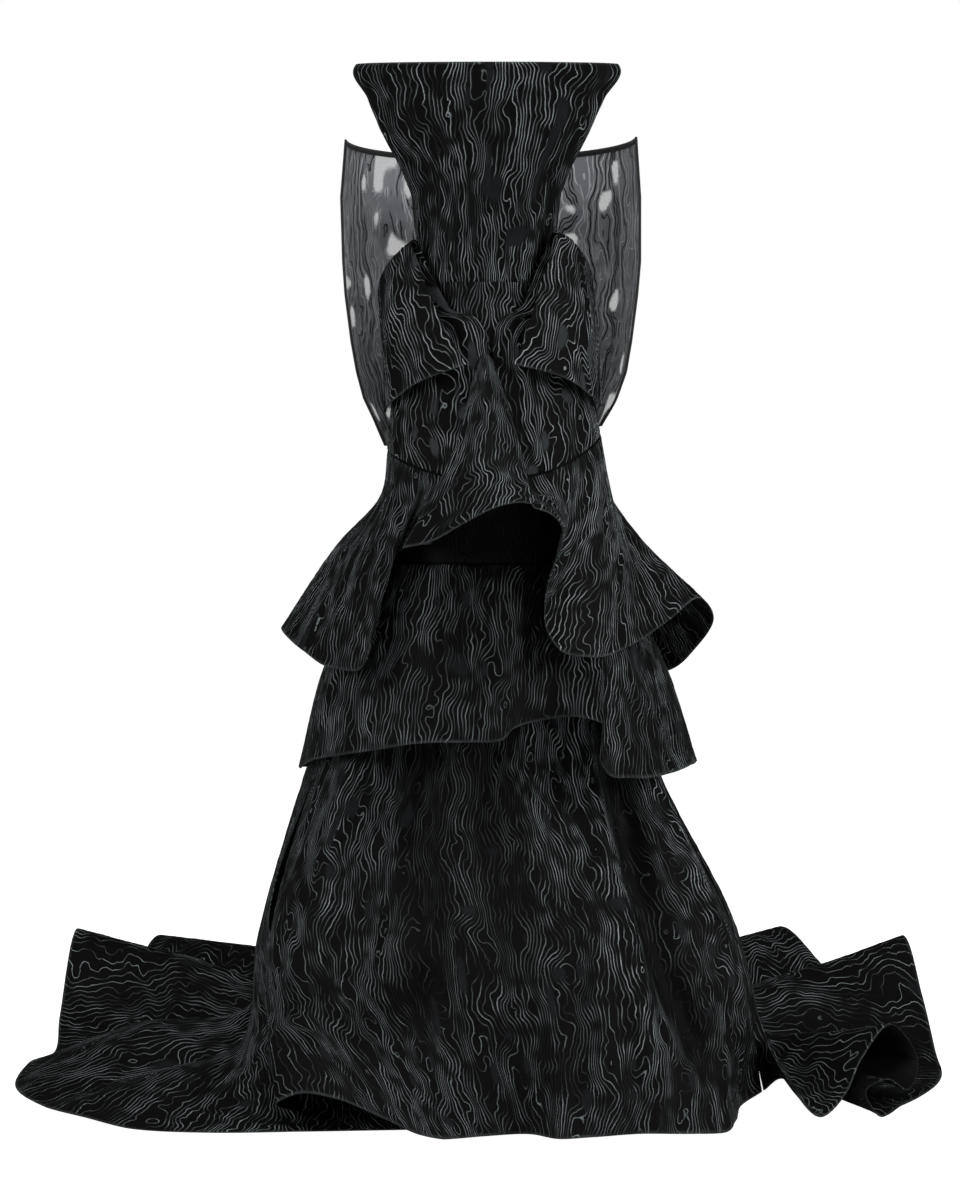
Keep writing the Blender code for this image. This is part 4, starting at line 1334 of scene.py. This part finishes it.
@dataclass
class Peplum:
    """The flared peplum with its two front flutes, and the godet that lifts its hem into an arch."""

    spacing: tuple[float, float] = (0.0034, 0.0057)
    godet_spacing: tuple[float, float] = (0.0022, 0.0042)
    left: tuple = (
        (-92.0, 0.943, 0.006, 0.008, -0.313, 0.040, 0.677),
        (-78.0, 0.936, 0.007, 0.008, -0.272, -0.100, 0.650),
        (-63.0, 0.926, 0.009, 0.008, -0.222, -0.190, 0.629),
        (-52.0, 0.917, 0.009, 0.012, -0.183, -0.222, 0.630),
        (-44.0, 0.911, 0.006, 0.009, -0.170, -0.200, 0.655),
        (-37.0, 0.906, 0.004, -0.006, -0.184, -0.134, 0.722),
        (-30.0, 0.902, 0.003, 0.004, -0.172, -0.100, 0.766),
        (-22.0, 0.899, 0.003, 0.004, -0.130, -0.106, 0.795),
        (-14.0, 0.897, 0.003, 0.004, -0.085, -0.185, 0.806),
    )
    right: tuple = (
        (13.0, 0.898, 0.003, 0.004, 0.0598, -0.2805, 0.857),
        (20.0, 0.901, 0.004, 0.004, 0.081, -0.268, 0.850),
        (28.0, 0.907, 0.006, 0.004, 0.100, -0.245, 0.832),
        (36.0, 0.915, 0.006, 0.004, 0.101, -0.220, 0.800),
        (43.0, 0.922, 0.005, 0.004, 0.087, -0.195, 0.763),
        (50.0, 0.931, 0.005, 0.012, 0.079, -0.187, 0.727),
        (57.0, 0.939, 0.007, 0.012, 0.079, -0.200, 0.687),
        (64.0, 0.946, 0.009, 0.010, 0.101, -0.215, 0.654),
        (72.0, 0.953, 0.010, 0.010, 0.143, -0.198, 0.645),
        (81.0, 0.960, 0.009, 0.010, 0.198, -0.128, 0.656),
        (90.0, 0.967, 0.007, -0.008, 0.262, -0.035, 0.690),
        (97.0, 0.972, 0.006, -0.014, 0.315, 0.045, 0.722),
    )
    back: tuple = (
        (109.0, 0.969, 0.006, -0.012, 0.341, 0.110, 0.691),
        (123.0, 0.965, 0.007, -0.006, 0.319, 0.190, 0.640),
        (137.0, 0.962, 0.008, 0.012, 0.283, 0.262, 0.602),
        (151.0, 0.960, 0.006, 0.012, 0.200, 0.315, 0.592),
        (166.0, 0.958, 0.006, 0.012, 0.105, 0.328, 0.600),
        (180.0, 0.956, 0.008, 0.012, 0.000, 0.362, 0.582),
        (194.0, 0.954, 0.006, 0.012, -0.100, 0.330, 0.600),
        (208.0, 0.952, 0.006, 0.012, -0.190, 0.308, 0.604),
        (223.0, 0.950, 0.008, 0.012, -0.250, 0.235, 0.636),
        (240.0, 0.947, 0.006, 0.012, -0.300, 0.140, 0.668),
    )
    godet: tuple = (
        ((-0.0200, -0.1088, 1.066), (-0.0506, -0.1540, 0.943), (-0.124, -0.2020, 0.800)),
        ((-0.0150, -0.1084, 1.074), (-0.0360, -0.1700, 0.943), (-0.085, -0.2400, 0.809)),
        ((-0.0090, -0.1084, 1.078), (-0.0120, -0.1780, 0.943), (-0.030, -0.2790, 0.839)),
        ((-0.0030, -0.1089, 1.077), (0.0130, -0.1760, 0.945), (0.009, -0.2910, 0.858)),
        ((0.0020, -0.1098, 1.072), (0.0320, -0.1650, 0.945), (0.038, -0.2910, 0.864)),
        ((0.0060, -0.1110, 1.064), (0.0430, -0.1500, 0.943), (0.0572, -0.2830, 0.8622)),
    )

    def guides(self) -> list[list[np.ndarray]]:
        """The ring's guides, from the godet's right edge round the back to its left edge.

        Returns:
            Four points for each guide.
        """
        found = []
        rows = self.right + self.back + self.left
        for angle, top_height, hip_away, flare, hem_x, hem_y, hem_height in rows:
            top = Figure.point(angle, top_height - SEAM, CLOTH + LAYER / 2)
            hip = Figure.point(angle, HIP_HEIGHT, CLOTH + hip_away)
            hem = np.array((hem_x, hem_y, hem_height))
            turn = math.radians(angle)
            outward = np.array((math.sin(turn), -math.cos(turn), 0.0))
            found.append([top, hip, hip + FLARE_SHARE * (hem - hip) + flare * outward, hem])
        return found

    def build(self, finishes: Finishes) -> None:
        """Builds the ring, cuts it at its side seams and dresses each piece and the godet.

        Args:
            finishes: the gown's materials.
        """
        grid, starts = loft(self.guides(), self.spacing)
        normal = normals_of(grid)
        side_right = starts[len(self.right) - 1]
        side_left = starts[len(self.right) + len(self.back)]
        u, v = flat_place(grid)
        cuts = (
            ("right_peplum", "peplum_right", 0, side_right, (True, False, False, True)),
            ("back_peplum", "peplum_back", side_right, side_left, (False, False, False, True)),
            ("left_peplum", "peplum_left", side_left, len(grid) - 1, (False, True, False, True)),
        )
        for name, node, first, last, free in cuts:
            rows = np.arange(first, last + 1)
            Panel(
                name,
                node,
                seam_apart(grid[rows]),
                normal[rows],
                crinkle=Crinkle(spacing=5.9, seed=41),
                faces=Face.OUTER if name == "left_peplum" else Face.BOTH,
                place=(u[rows], v[rows]),
                free_edges=free,
                held="hung",
                rests_on=("hip_yoke",),
            ).build(finishes.cloque if name == "left_peplum" else finishes.patched)
        cone, _ = loft(self.godet, self.godet_spacing)
        Panel(
            "front_godet",
            "centre_godet",
            cone,
            normals_of(cone),
            crinkle=Crinkle(spacing=5.6, seed=53),
            free_edges=(True, True, False, True),
            held="hung",
            rests_on=("hip_petal_left",),
        ).build(finishes.cloque)


def seam_apart(piece: np.ndarray) -> np.ndarray:
    """The piece with both its end rows drawn in by half a seam.

    Args:
        piece: points of shape (row, column, 3).

    Returns:
        The shortened piece.
    """
    piece = piece.copy()
    for end, inward in ((0, 1), (-1, -2)):
        step = piece[inward] - piece[end]
        piece[end] += step / np.linalg.norm(step, axis=1, keepdims=True) * SEAM / 2
    return piece


@dataclass
class MiddleTier:
    """The middle tier, whose hem folds back on itself to the right of the front."""

    spacing: tuple[float, float] = (0.0035, 0.0062)
    front: tuple = (
        (-90.0, -0.284, 0.020, 0.468, 0.022),
        (-75.0, -0.262, -0.085, 0.487, 0.024),
        (-58.0, -0.215, -0.165, 0.503, 0.019),
        (-42.0, -0.160, -0.215, 0.515, 0.012),
        (-25.0, -0.095, -0.242, 0.527, 0.012),
        (-8.0, -0.030, -0.248, 0.528, 0.010),
        (8.0, 0.015, -0.243, 0.530, 0.010),
        (18.0, 0.038, -0.214, 0.546, 0.008),
        (30.0, 0.078, -0.194, 0.556, 0.006),
        (42.0, 0.128, -0.190, 0.559, 0.006),
        (50.0, 0.162, -0.200, 0.548, 0.008),
        (56.0, 0.168, -0.222, 0.522, 0.003),
        (61.0, 0.154, -0.238, 0.503, 0.012),
        (66.0, 0.164, -0.252, 0.485, 0.014),
        (73.0, 0.203, -0.215, 0.475, 0.016),
        (82.0, 0.265, -0.115, 0.474, 0.018),
        (92.0, 0.308, 0.010, 0.480, 0.018),
    )
    back: tuple = (
        (114.0, 0.300, 0.130, 0.462, 0.016),
        (134.0, 0.245, 0.225, 0.452, 0.014),
        (154.0, 0.150, 0.270, 0.458, 0.012),
        (180.0, 0.000, 0.300, 0.444, 0.012),
        (206.0, -0.140, 0.270, 0.456, 0.012),
        (228.0, -0.232, 0.215, 0.456, 0.014),
        (248.0, -0.282, 0.120, 0.462, 0.024),
        (259.0, -0.2885, 0.072, 0.466, 0.022),
        (270.0, -0.284, 0.020, 0.468, 0.022),
    )

    def guides(self) -> list[list[np.ndarray]]:
        """The ring's guides, from the left side seam round the front and back to it.

        Returns:
            Three points for each guide.
        """
        found = []
        for angle, hem_x, hem_y, hem_height, bow in self.front + self.back:
            top = Figure.point(angle, YOKE_BOTTOM - SEAM, CLOTH + LAYER / 2)
            hem = np.array((hem_x, hem_y, hem_height))
            turn = math.radians(angle)
            middle = (top + hem) / 2 + bow * np.array((math.sin(turn), -math.cos(turn), 0.0))
            found.append([top, middle, hem])
        return found

    def build(self, finishes: Finishes) -> None:
        """Builds the ring, cuts it at its side seams and dresses both pieces.

        Args:
            finishes: the gown's materials.
        """
        grid, starts = loft(self.guides(), self.spacing)
        grid = grid[:-1]
        normal = normals_of(grid, closed=True)
        side = starts[len(self.front) - 1]
        creases = {
            "front_tier": (
                Crease(0.17, 0.30, 0.12, 1.0, 5.0, 22.0),
                Crease(0.30, 0.45, 0.33, 1.0, -4.0, 20.0),
                Crease(0.47, 0.2, 0.46, 0.95, -4.5, 26.0),
                Crease(0.66, 0.25, 0.62, 0.9, 4.0, 20.0),
                Crease(0.88, 0.2, 0.93, 1.0, 5.0, 20.0),
            ),
            "back_tier": (
                Crease(0.12, 0.3, 0.10, 1.0, 6.0, 24.0),
                Crease(0.27, 0.2, 0.30, 1.0, -6.0, 26.0),
                Crease(0.43, 0.35, 0.41, 1.0, 7.0, 24.0),
                Crease(0.60, 0.2, 0.62, 0.95, -5.0, 28.0),
                Crease(0.78, 0.3, 0.80, 1.0, 6.5, 24.0),
            ),
        }
        u, v = flat_place(np.concatenate([grid, grid[:1]]))
        cuts = (("front_tier", "tier_front", 0, side), ("back_tier", "tier_back", side, len(grid)))
        for name, node, first, last in cuts:
            rows = np.arange(first, last + 1) % len(grid)
            places = np.arange(first, last + 1)
            Panel(
                name,
                node,
                seam_apart(grid[rows]),
                normal[rows],
                crinkle=Crinkle(spacing=5.8, boldness=0.8, seed=61),
                place=(u[places], v[places]),
                creases=creases[name],
                held="hung",
                rests_on=("hip_yoke",),
            ).build(finishes.cloque)


@dataclass
class Skirt:
    """The long skirt's front panel and the side and back panels that run on as the train."""

    spacing: tuple[float, float] = (0.0036, 0.0062)
    train_spacing: tuple[float, float] = (0.0074, 0.0098)
    top: tuple = (YOKE_BOTTOM - SEAM, 0.005, 0.1672, 0.1462, 0.1512)
    knee: tuple = (0.480, -0.012, 0.2560, 0.1900, 0.2450)
    low: tuple = (0.220, 0.011, 0.3520, 0.3250, 0.3700)
    front: tuple = (
        (-72.0, -0.004, -0.262, -0.300, 0.0160),
        (-68.0, 0.006, -0.297, -0.318, 0.0300),
        (-63.0, 0.016, -0.262, -0.352, 0.0540),
        (-55.0, 0.018, -0.206, -0.384, 0.0520),
        (-44.0, 0.006, -0.142, -0.404, 0.0290),
        (-33.0, -0.012, -0.096, -0.412, 0.0100),
        (-22.0, 0.002, -0.058, -0.408, 0.0025),
        (-11.0, 0.008, -0.009, -0.390, 0.0025),
        (-1.0, -0.002, 0.052, -0.377, 0.0025),
        (9.0, 0.008, 0.090, -0.407, 0.0025),
        (20.0, 0.022, 0.139, -0.396, 0.0025),
        (32.0, 0.004, 0.205, -0.374, 0.0025),
        (44.0, -0.016, 0.270, -0.374, 0.0025),
        (55.0, 0.004, 0.318, -0.367, 0.0025),
        (64.0, 0.012, 0.340, -0.300, 0.0025),
        (71.0, 0.010, 0.358, -0.190, 0.0025),
        (77.0, 0.008, 0.398, -0.085, 0.0025),
    )
    folds: tuple = (
        (-0.120, -0.310, 0.250, -0.290, -0.290, 0.110, 0.024, 0.040),
        (-0.190, -0.350, 0.100, -0.080, -0.350, 0.190, -0.010, 0.040),
    )
    train_left: tuple = (
        (-72.3, -0.0055, -0.1500, -0.200, 0.050, 0.020, -0.090, -0.3420, 0.0025),
        (-77.0, 0.000, -0.270, -0.240, 0.060, 0.014, -0.262, -0.3560, 0.0025),
        (-83.0, 0.004, -0.345, -0.200, 0.065, 0.020, -0.385, -0.3630, 0.0025),
        (-88.0, 0.000, -0.362, -0.150, 0.060, 0.026, -0.480, -0.3450, 0.0025),
        (-93.0, 0.006, -0.368, -0.110, 0.075, 0.050, -0.568, -0.2750, 0.0060),
        (-99.0, 0.000, -0.366, -0.060, 0.065, 0.034, -0.650, -0.1650, 0.0025),
        (-105.0, 0.004, -0.363, -0.010, 0.112, 0.078, -0.703, -0.0300, 0.0060),
        (-111.0, 0.000, -0.355, 0.045, 0.105, 0.080, -0.699, 0.0700, 0.0160),
        (-117.0, -0.004, -0.345, 0.100, 0.070, 0.018, -0.678, 0.2100, 0.0100),
        (-124.0, 0.002, -0.330, 0.160, 0.095, 0.070, -0.688, 0.3300, 0.0460),
        (-131.0, 0.008, -0.318, 0.225, 0.132, 0.142, -0.674, 0.4400, 0.1680),
        (-138.0, 0.004, -0.280, 0.262, 0.110, 0.090, -0.655, 0.5200, 0.0900),
        (-145.0, -0.004, -0.235, 0.300, 0.085, 0.020, -0.630, 0.6300, 0.0100),
        (-152.0, 0.004, -0.190, 0.335, 0.128, 0.122, -0.577, 0.7500, 0.1120),
        (-160.0, -0.002, -0.135, 0.350, 0.090, 0.030, -0.490, 0.8700, 0.0120),
        (-170.0, 0.004, -0.070, 0.372, 0.120, 0.075, -0.290, 0.9700, 0.0400),
        (-179.92, -0.002, -0.0005, 0.380, 0.095, 0.024, -0.0005, 1.0400, 0.0025),
    )
    train_right: tuple = (
        (77.3, 0.0080, 0.3830, -0.079, 0.085, 0.042, 0.3995, -0.0820, 0.0040),
        (82.0, 0.010, 0.398, -0.064, 0.095, 0.058, 0.4180, -0.1450, 0.0340),
        (87.0, 0.002, 0.401, -0.036, 0.072, 0.024, 0.4660, -0.2620, 0.0040),
        (91.0, 0.000, 0.397, -0.012, 0.066, 0.034, 0.5040, -0.2080, 0.0250),
        (95.0, 0.002, 0.398, 0.006, 0.073, 0.060, 0.5350, -0.1550, 0.0680),
        (99.0, 0.004, 0.397, 0.026, 0.082, 0.082, 0.5850, -0.1050, 0.1060),
        (103.0, 0.002, 0.394, 0.046, 0.076, 0.070, 0.6230, -0.0900, 0.0560),
        (107.0, 0.000, 0.390, 0.064, 0.068, 0.048, 0.6020, -0.1450, 0.0170),
        (110.0, 0.000, 0.386, 0.082, 0.062, 0.036, 0.5660, -0.1850, 0.0400),
        (113.0, 0.000, 0.381, 0.098, 0.056, 0.026, 0.5320, -0.2200, 0.0300),
        (117.0, 0.000, 0.374, 0.116, 0.052, 0.018, 0.5420, -0.2640, 0.0075),
        (121.0, -0.002, 0.365, 0.136, 0.052, 0.013, 0.5880, -0.1850, 0.0045),
        (125.0, -0.002, 0.354, 0.158, 0.058, 0.014, 0.6700, 0.0000, 0.0030),
        (129.0, 0.002, 0.342, 0.180, 0.080, 0.050, 0.6960, 0.2200, 0.0160),
        (133.0, 0.006, 0.330, 0.205, 0.105, 0.100, 0.6940, 0.3300, 0.0760),
        (137.0, 0.008, 0.318, 0.230, 0.112, 0.116, 0.6800, 0.4450, 0.1560),
        (142.0, 0.002, 0.290, 0.258, 0.100, 0.050, 0.6400, 0.5600, 0.0300),
        (148.0, -0.004, 0.250, 0.292, 0.085, 0.030, 0.5760, 0.6850, 0.0700),
        (154.0, 0.004, 0.205, 0.325, 0.105, 0.120, 0.5180, 0.7500, 0.1260),
        (161.0, -0.002, 0.140, 0.350, 0.090, 0.030, 0.4200, 0.8700, 0.0120),
        (170.0, 0.004, 0.070, 0.372, 0.120, 0.075, 0.2500, 0.9700, 0.0400),
        (179.92, -0.002, 0.0005, 0.380, 0.095, 0.024, 0.0005, 1.0400, 0.0025),
    )

    @staticmethod
    def on_ring(ring: tuple, angle: float, away: float) -> np.ndarray:
        """A point on one of the skirt's rings, pushed out by away.

        Args:
            ring: the ring's height, centre, half width, front and back depth.
            angle: degrees from the centre front.
            away: metres pushed out.

        Returns:
            The point in metres.
        """
        height, centre, half_width, front, back = ring
        turn = math.radians(angle)
        depth = front if math.cos(turn) > 0 else back
        across = centre + math.sin(turn) * (half_width + away)
        return np.array((across, -math.cos(turn) * (depth + away), height))

    def controls(self, angle: float, ripple: float) -> list[np.ndarray]:
        """The guide's points on the three rings.

        Args:
            angle: degrees from the centre front.
            ripple: how far the lowest ring is pushed out, in metres.

        Returns:
            Three points.
        """
        return [
            self.on_ring(self.top, angle, 0.0),
            self.on_ring(self.knee, angle, ripple * 0.35),
            self.on_ring(self.low, angle, ripple),
        ]

    def raise_fold(self, grid: np.ndarray, fold: tuple) -> np.ndarray:
        """Pushes the grid out along a soft ridge.

        Args:
            grid: points of shape (row, column, 3).
            fold: the ridge's start, its end, its rise and its half width, in metres.

        Returns:
            The pushed grid.
        """
        start, end = np.array(fold[:3]), np.array(fold[3:6])
        rise, width = fold[6:]
        path = end - start
        share = ((grid - start) @ path) / (path @ path)
        nearest = start + np.clip(share, 0.0, 1.0)[..., None] * path
        distance = np.linalg.norm(grid - nearest, axis=2)
        fade = np.clip(np.minimum(share + 0.25, 1.35 - share) / 0.35, 0.0, 1.0)
        lift = rise * np.exp(-((distance / width) ** 2)) * fade**2 * (3 - 2 * fade)
        return grid + normals_of(grid) * lift[..., None]

    def train_guides(self, table: tuple) -> list[list[np.ndarray]]:
        """The guides of one train panel, from the waist side down the skirt and out over the floor.

        Args:
            table: the panel's rows.

        Returns:
            Six points for each guide.
        """
        found = []
        for angle, ripple, foot_x, foot_y, foot_height, mid_height, hem_x, hem_y, hem_height in table:
            foot = np.array((foot_x, foot_y, foot_height))
            hem = np.array((hem_x, hem_y, hem_height))
            middle = (foot + hem) / 2
            middle[2] = mid_height
            found.append([*self.controls(angle, ripple), foot, middle, hem])
        return found

    def build(self, finishes: Finishes) -> None:
        """Builds and dresses the front panel and both train panels.

        Args:
            finishes: the gown's materials.
        """
        guides = [[*self.controls(row[0], row[1]), np.array(row[2:])] for row in self.front]
        grid, _ = loft(guides, self.spacing)
        for fold in self.folds:
            grid = self.raise_fold(grid, fold)
        Panel(
            "long_skirt_front",
            "skirt_front",
            grid,
            normals_of(grid),
            crinkle=Crinkle(spacing=6.0, swell=2.2, lobe=(24.0, 46.0), boldness=0.8, seed=71),
            creases=(
                Crease(0.645, 0.10, 0.640, 0.88, 20.0, 26.0),
                Crease(0.742, 0.15, 0.735, 0.90, -18.0, 24.0),
                Crease(0.310, 0.15, 0.330, 0.80, -20.0, 32.0),
                Crease(0.430, 0.10, 0.450, 0.70, -12.0, 34.0),
                Crease(0.200, 0.20, 0.170, 0.70, 9.0, 24.0),
                Crease(0.545, 0.55, 0.530, 0.95, -7.0, 24.0),
                Crease(0.880, 0.20, 0.890, 0.90, 12.0, 26.0),
            ),
            held="hung",
            rests_on=("hip_yoke",),
        ).build(finishes.cloque)
        for name, node, table, seed in (
            ("left_train", "skirt_train_left", self.train_left, 73),
            ("right_train", "skirt_train_right", self.train_right, 79),
        ):
            grid, _ = loft(self.train_guides(table), self.train_spacing)
            Panel(
                name,
                node,
                grid,
                normals_of(grid),
                relief_mm=0.9,
                crinkle=Crinkle(
                    spacing=6.2, half_width=2.9, swell=1.9, lobe=(30.0, 56.0), smooth_level=0.86, seed=seed
                ),
                held="hung",
                rests_on=("hip_yoke",),
            ).build(finishes.cloque)


# Studio


@dataclass
class Studio:
    """A pale floor, soft light from both sides and above, and the camera at the photo's viewing angle."""

    floor_z: float = -WAIST_HEIGHT
    camera_place: tuple[float, float, float] = (-0.0148, -4.35, -0.27)
    camera_tilt: float = 90.0 - 1.72
    focal_pixels: float = 2933.0
    picture_width: float = 960.0
    sensor_mm: float = 36.0

    def floor(self) -> None:
        """A pale matt floor under the gown, which runs far back."""
        bpy.ops.mesh.primitive_plane_add(size=60.0, location=(0.0, 10.0, self.floor_z))
        floor = bpy.context.object
        floor.name = "studio_floor"
        material = bpy.data.materials.new("pale_matt_floor")
        material.use_nodes = True
        shader = material.node_tree.nodes["Principled BSDF"]
        shader.inputs["Base Color"].default_value = linear("#f6f6f6")
        shader.inputs["Roughness"].default_value = 0.9
        shader.inputs["Emission Color"].default_value = (1.0, 1.0, 1.0, 1.0)
        self.for_camera(material.node_tree, shader.inputs["Emission Strength"], 0.04, 1.0)
        floor.data.materials.append(material)

    @staticmethod
    def for_camera(
        tree: bpy.types.NodeTree, socket: bpy.types.NodeSocket, lighting: float, seen: float
    ) -> None:
        """Sets a stage glow to one strength as it lights the gown, and to another as the picture shows it.

        Args:
            tree: the node tree.
            socket: the strength to set.
            lighting: how strongly it lights the gown.
            seen: how strongly the picture shows it.
        """
        rays = add_node(tree, "ShaderNodeLightPath").outputs["Is Camera Ray"]
        strength = add_node(tree, "ShaderNodeMapRange", {"Value": rays, "To Min": lighting, "To Max": seen})
        tree.links.new(strength.outputs["Result"], socket)

    def light(self, name: str, place: tuple, aim: tuple, size: tuple[float, float], power: float) -> None:
        """A rectangular soft light.

        Args:
            name: the light's name.
            place: where it stands.
            aim: the point that it faces.
            size: its width and height in metres.
            power: its power in watts.
        """
        data = bpy.data.lights.new(name, "AREA")
        data.shape = "RECTANGLE"
        data.size, data.size_y = size
        data.energy = power
        obj = bpy.data.objects.new(name, data)
        obj.location = place
        direction = np.array(aim) - np.array(place)
        across = math.atan2(direction[0], -direction[1])
        down = math.atan2(math.hypot(direction[0], direction[1]), -direction[2])
        obj.rotation_euler = (down, 0.0, across + math.pi)
        bpy.context.scene.collection.objects.link(obj)

    def build(self) -> None:
        """Builds the floor, lights, world and camera."""
        self.floor()
        self.light("left_softbox", (-3.3, -1.9, 1.0), (0.0, 0.0, -0.3), (1.4, 2.4), 46.0)
        self.light("right_softbox", (3.3, -1.7, 1.1), (0.0, 0.0, -0.3), (1.4, 2.4), 60.0)
        self.light("top_softbox", (0.1, -0.6, 2.9), (0.0, 0.0, 0.0), (2.2, 1.4), 42.0)
        world = bpy.data.worlds.new("studio_air")
        world.use_nodes = True
        tree = world.node_tree
        background = tree.nodes["Background"]
        background.inputs["Color"].default_value = (1.0, 1.0, 1.0, 1.0)
        self.for_camera(tree, background.inputs["Strength"], 0.05, 1.0)
        bpy.context.scene.world = world
        bpy.context.scene.view_settings.view_transform = "Standard"
        data = bpy.data.cameras.new("photo_camera")
        data.sensor_fit = "HORIZONTAL"
        data.sensor_width = self.sensor_mm
        data.lens = self.focal_pixels / self.picture_width * self.sensor_mm
        camera = bpy.data.objects.new("photo_camera", data)
        camera.location = self.camera_place
        camera.rotation_euler = (math.radians(self.camera_tilt), 0.0, 0.0)
        bpy.context.scene.collection.objects.link(camera)
        bpy.context.scene.camera = camera


def main() -> None:
    """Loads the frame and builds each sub-assembly in order."""
    logging.basicConfig(level=logging.INFO, format="%(message)s")
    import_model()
    bpy.ops.object.select_all(action="DESELECT")
    finishes = Finishes.build()
    for part in (Bodice(), Shield(), HipPetals(), Peplum(), MiddleTier(), Skirt()):
        part.build(finishes)
        LOG.info("built %s", type(part).__name__)
    Studio().build()


if __name__ == "__main__":
    main()
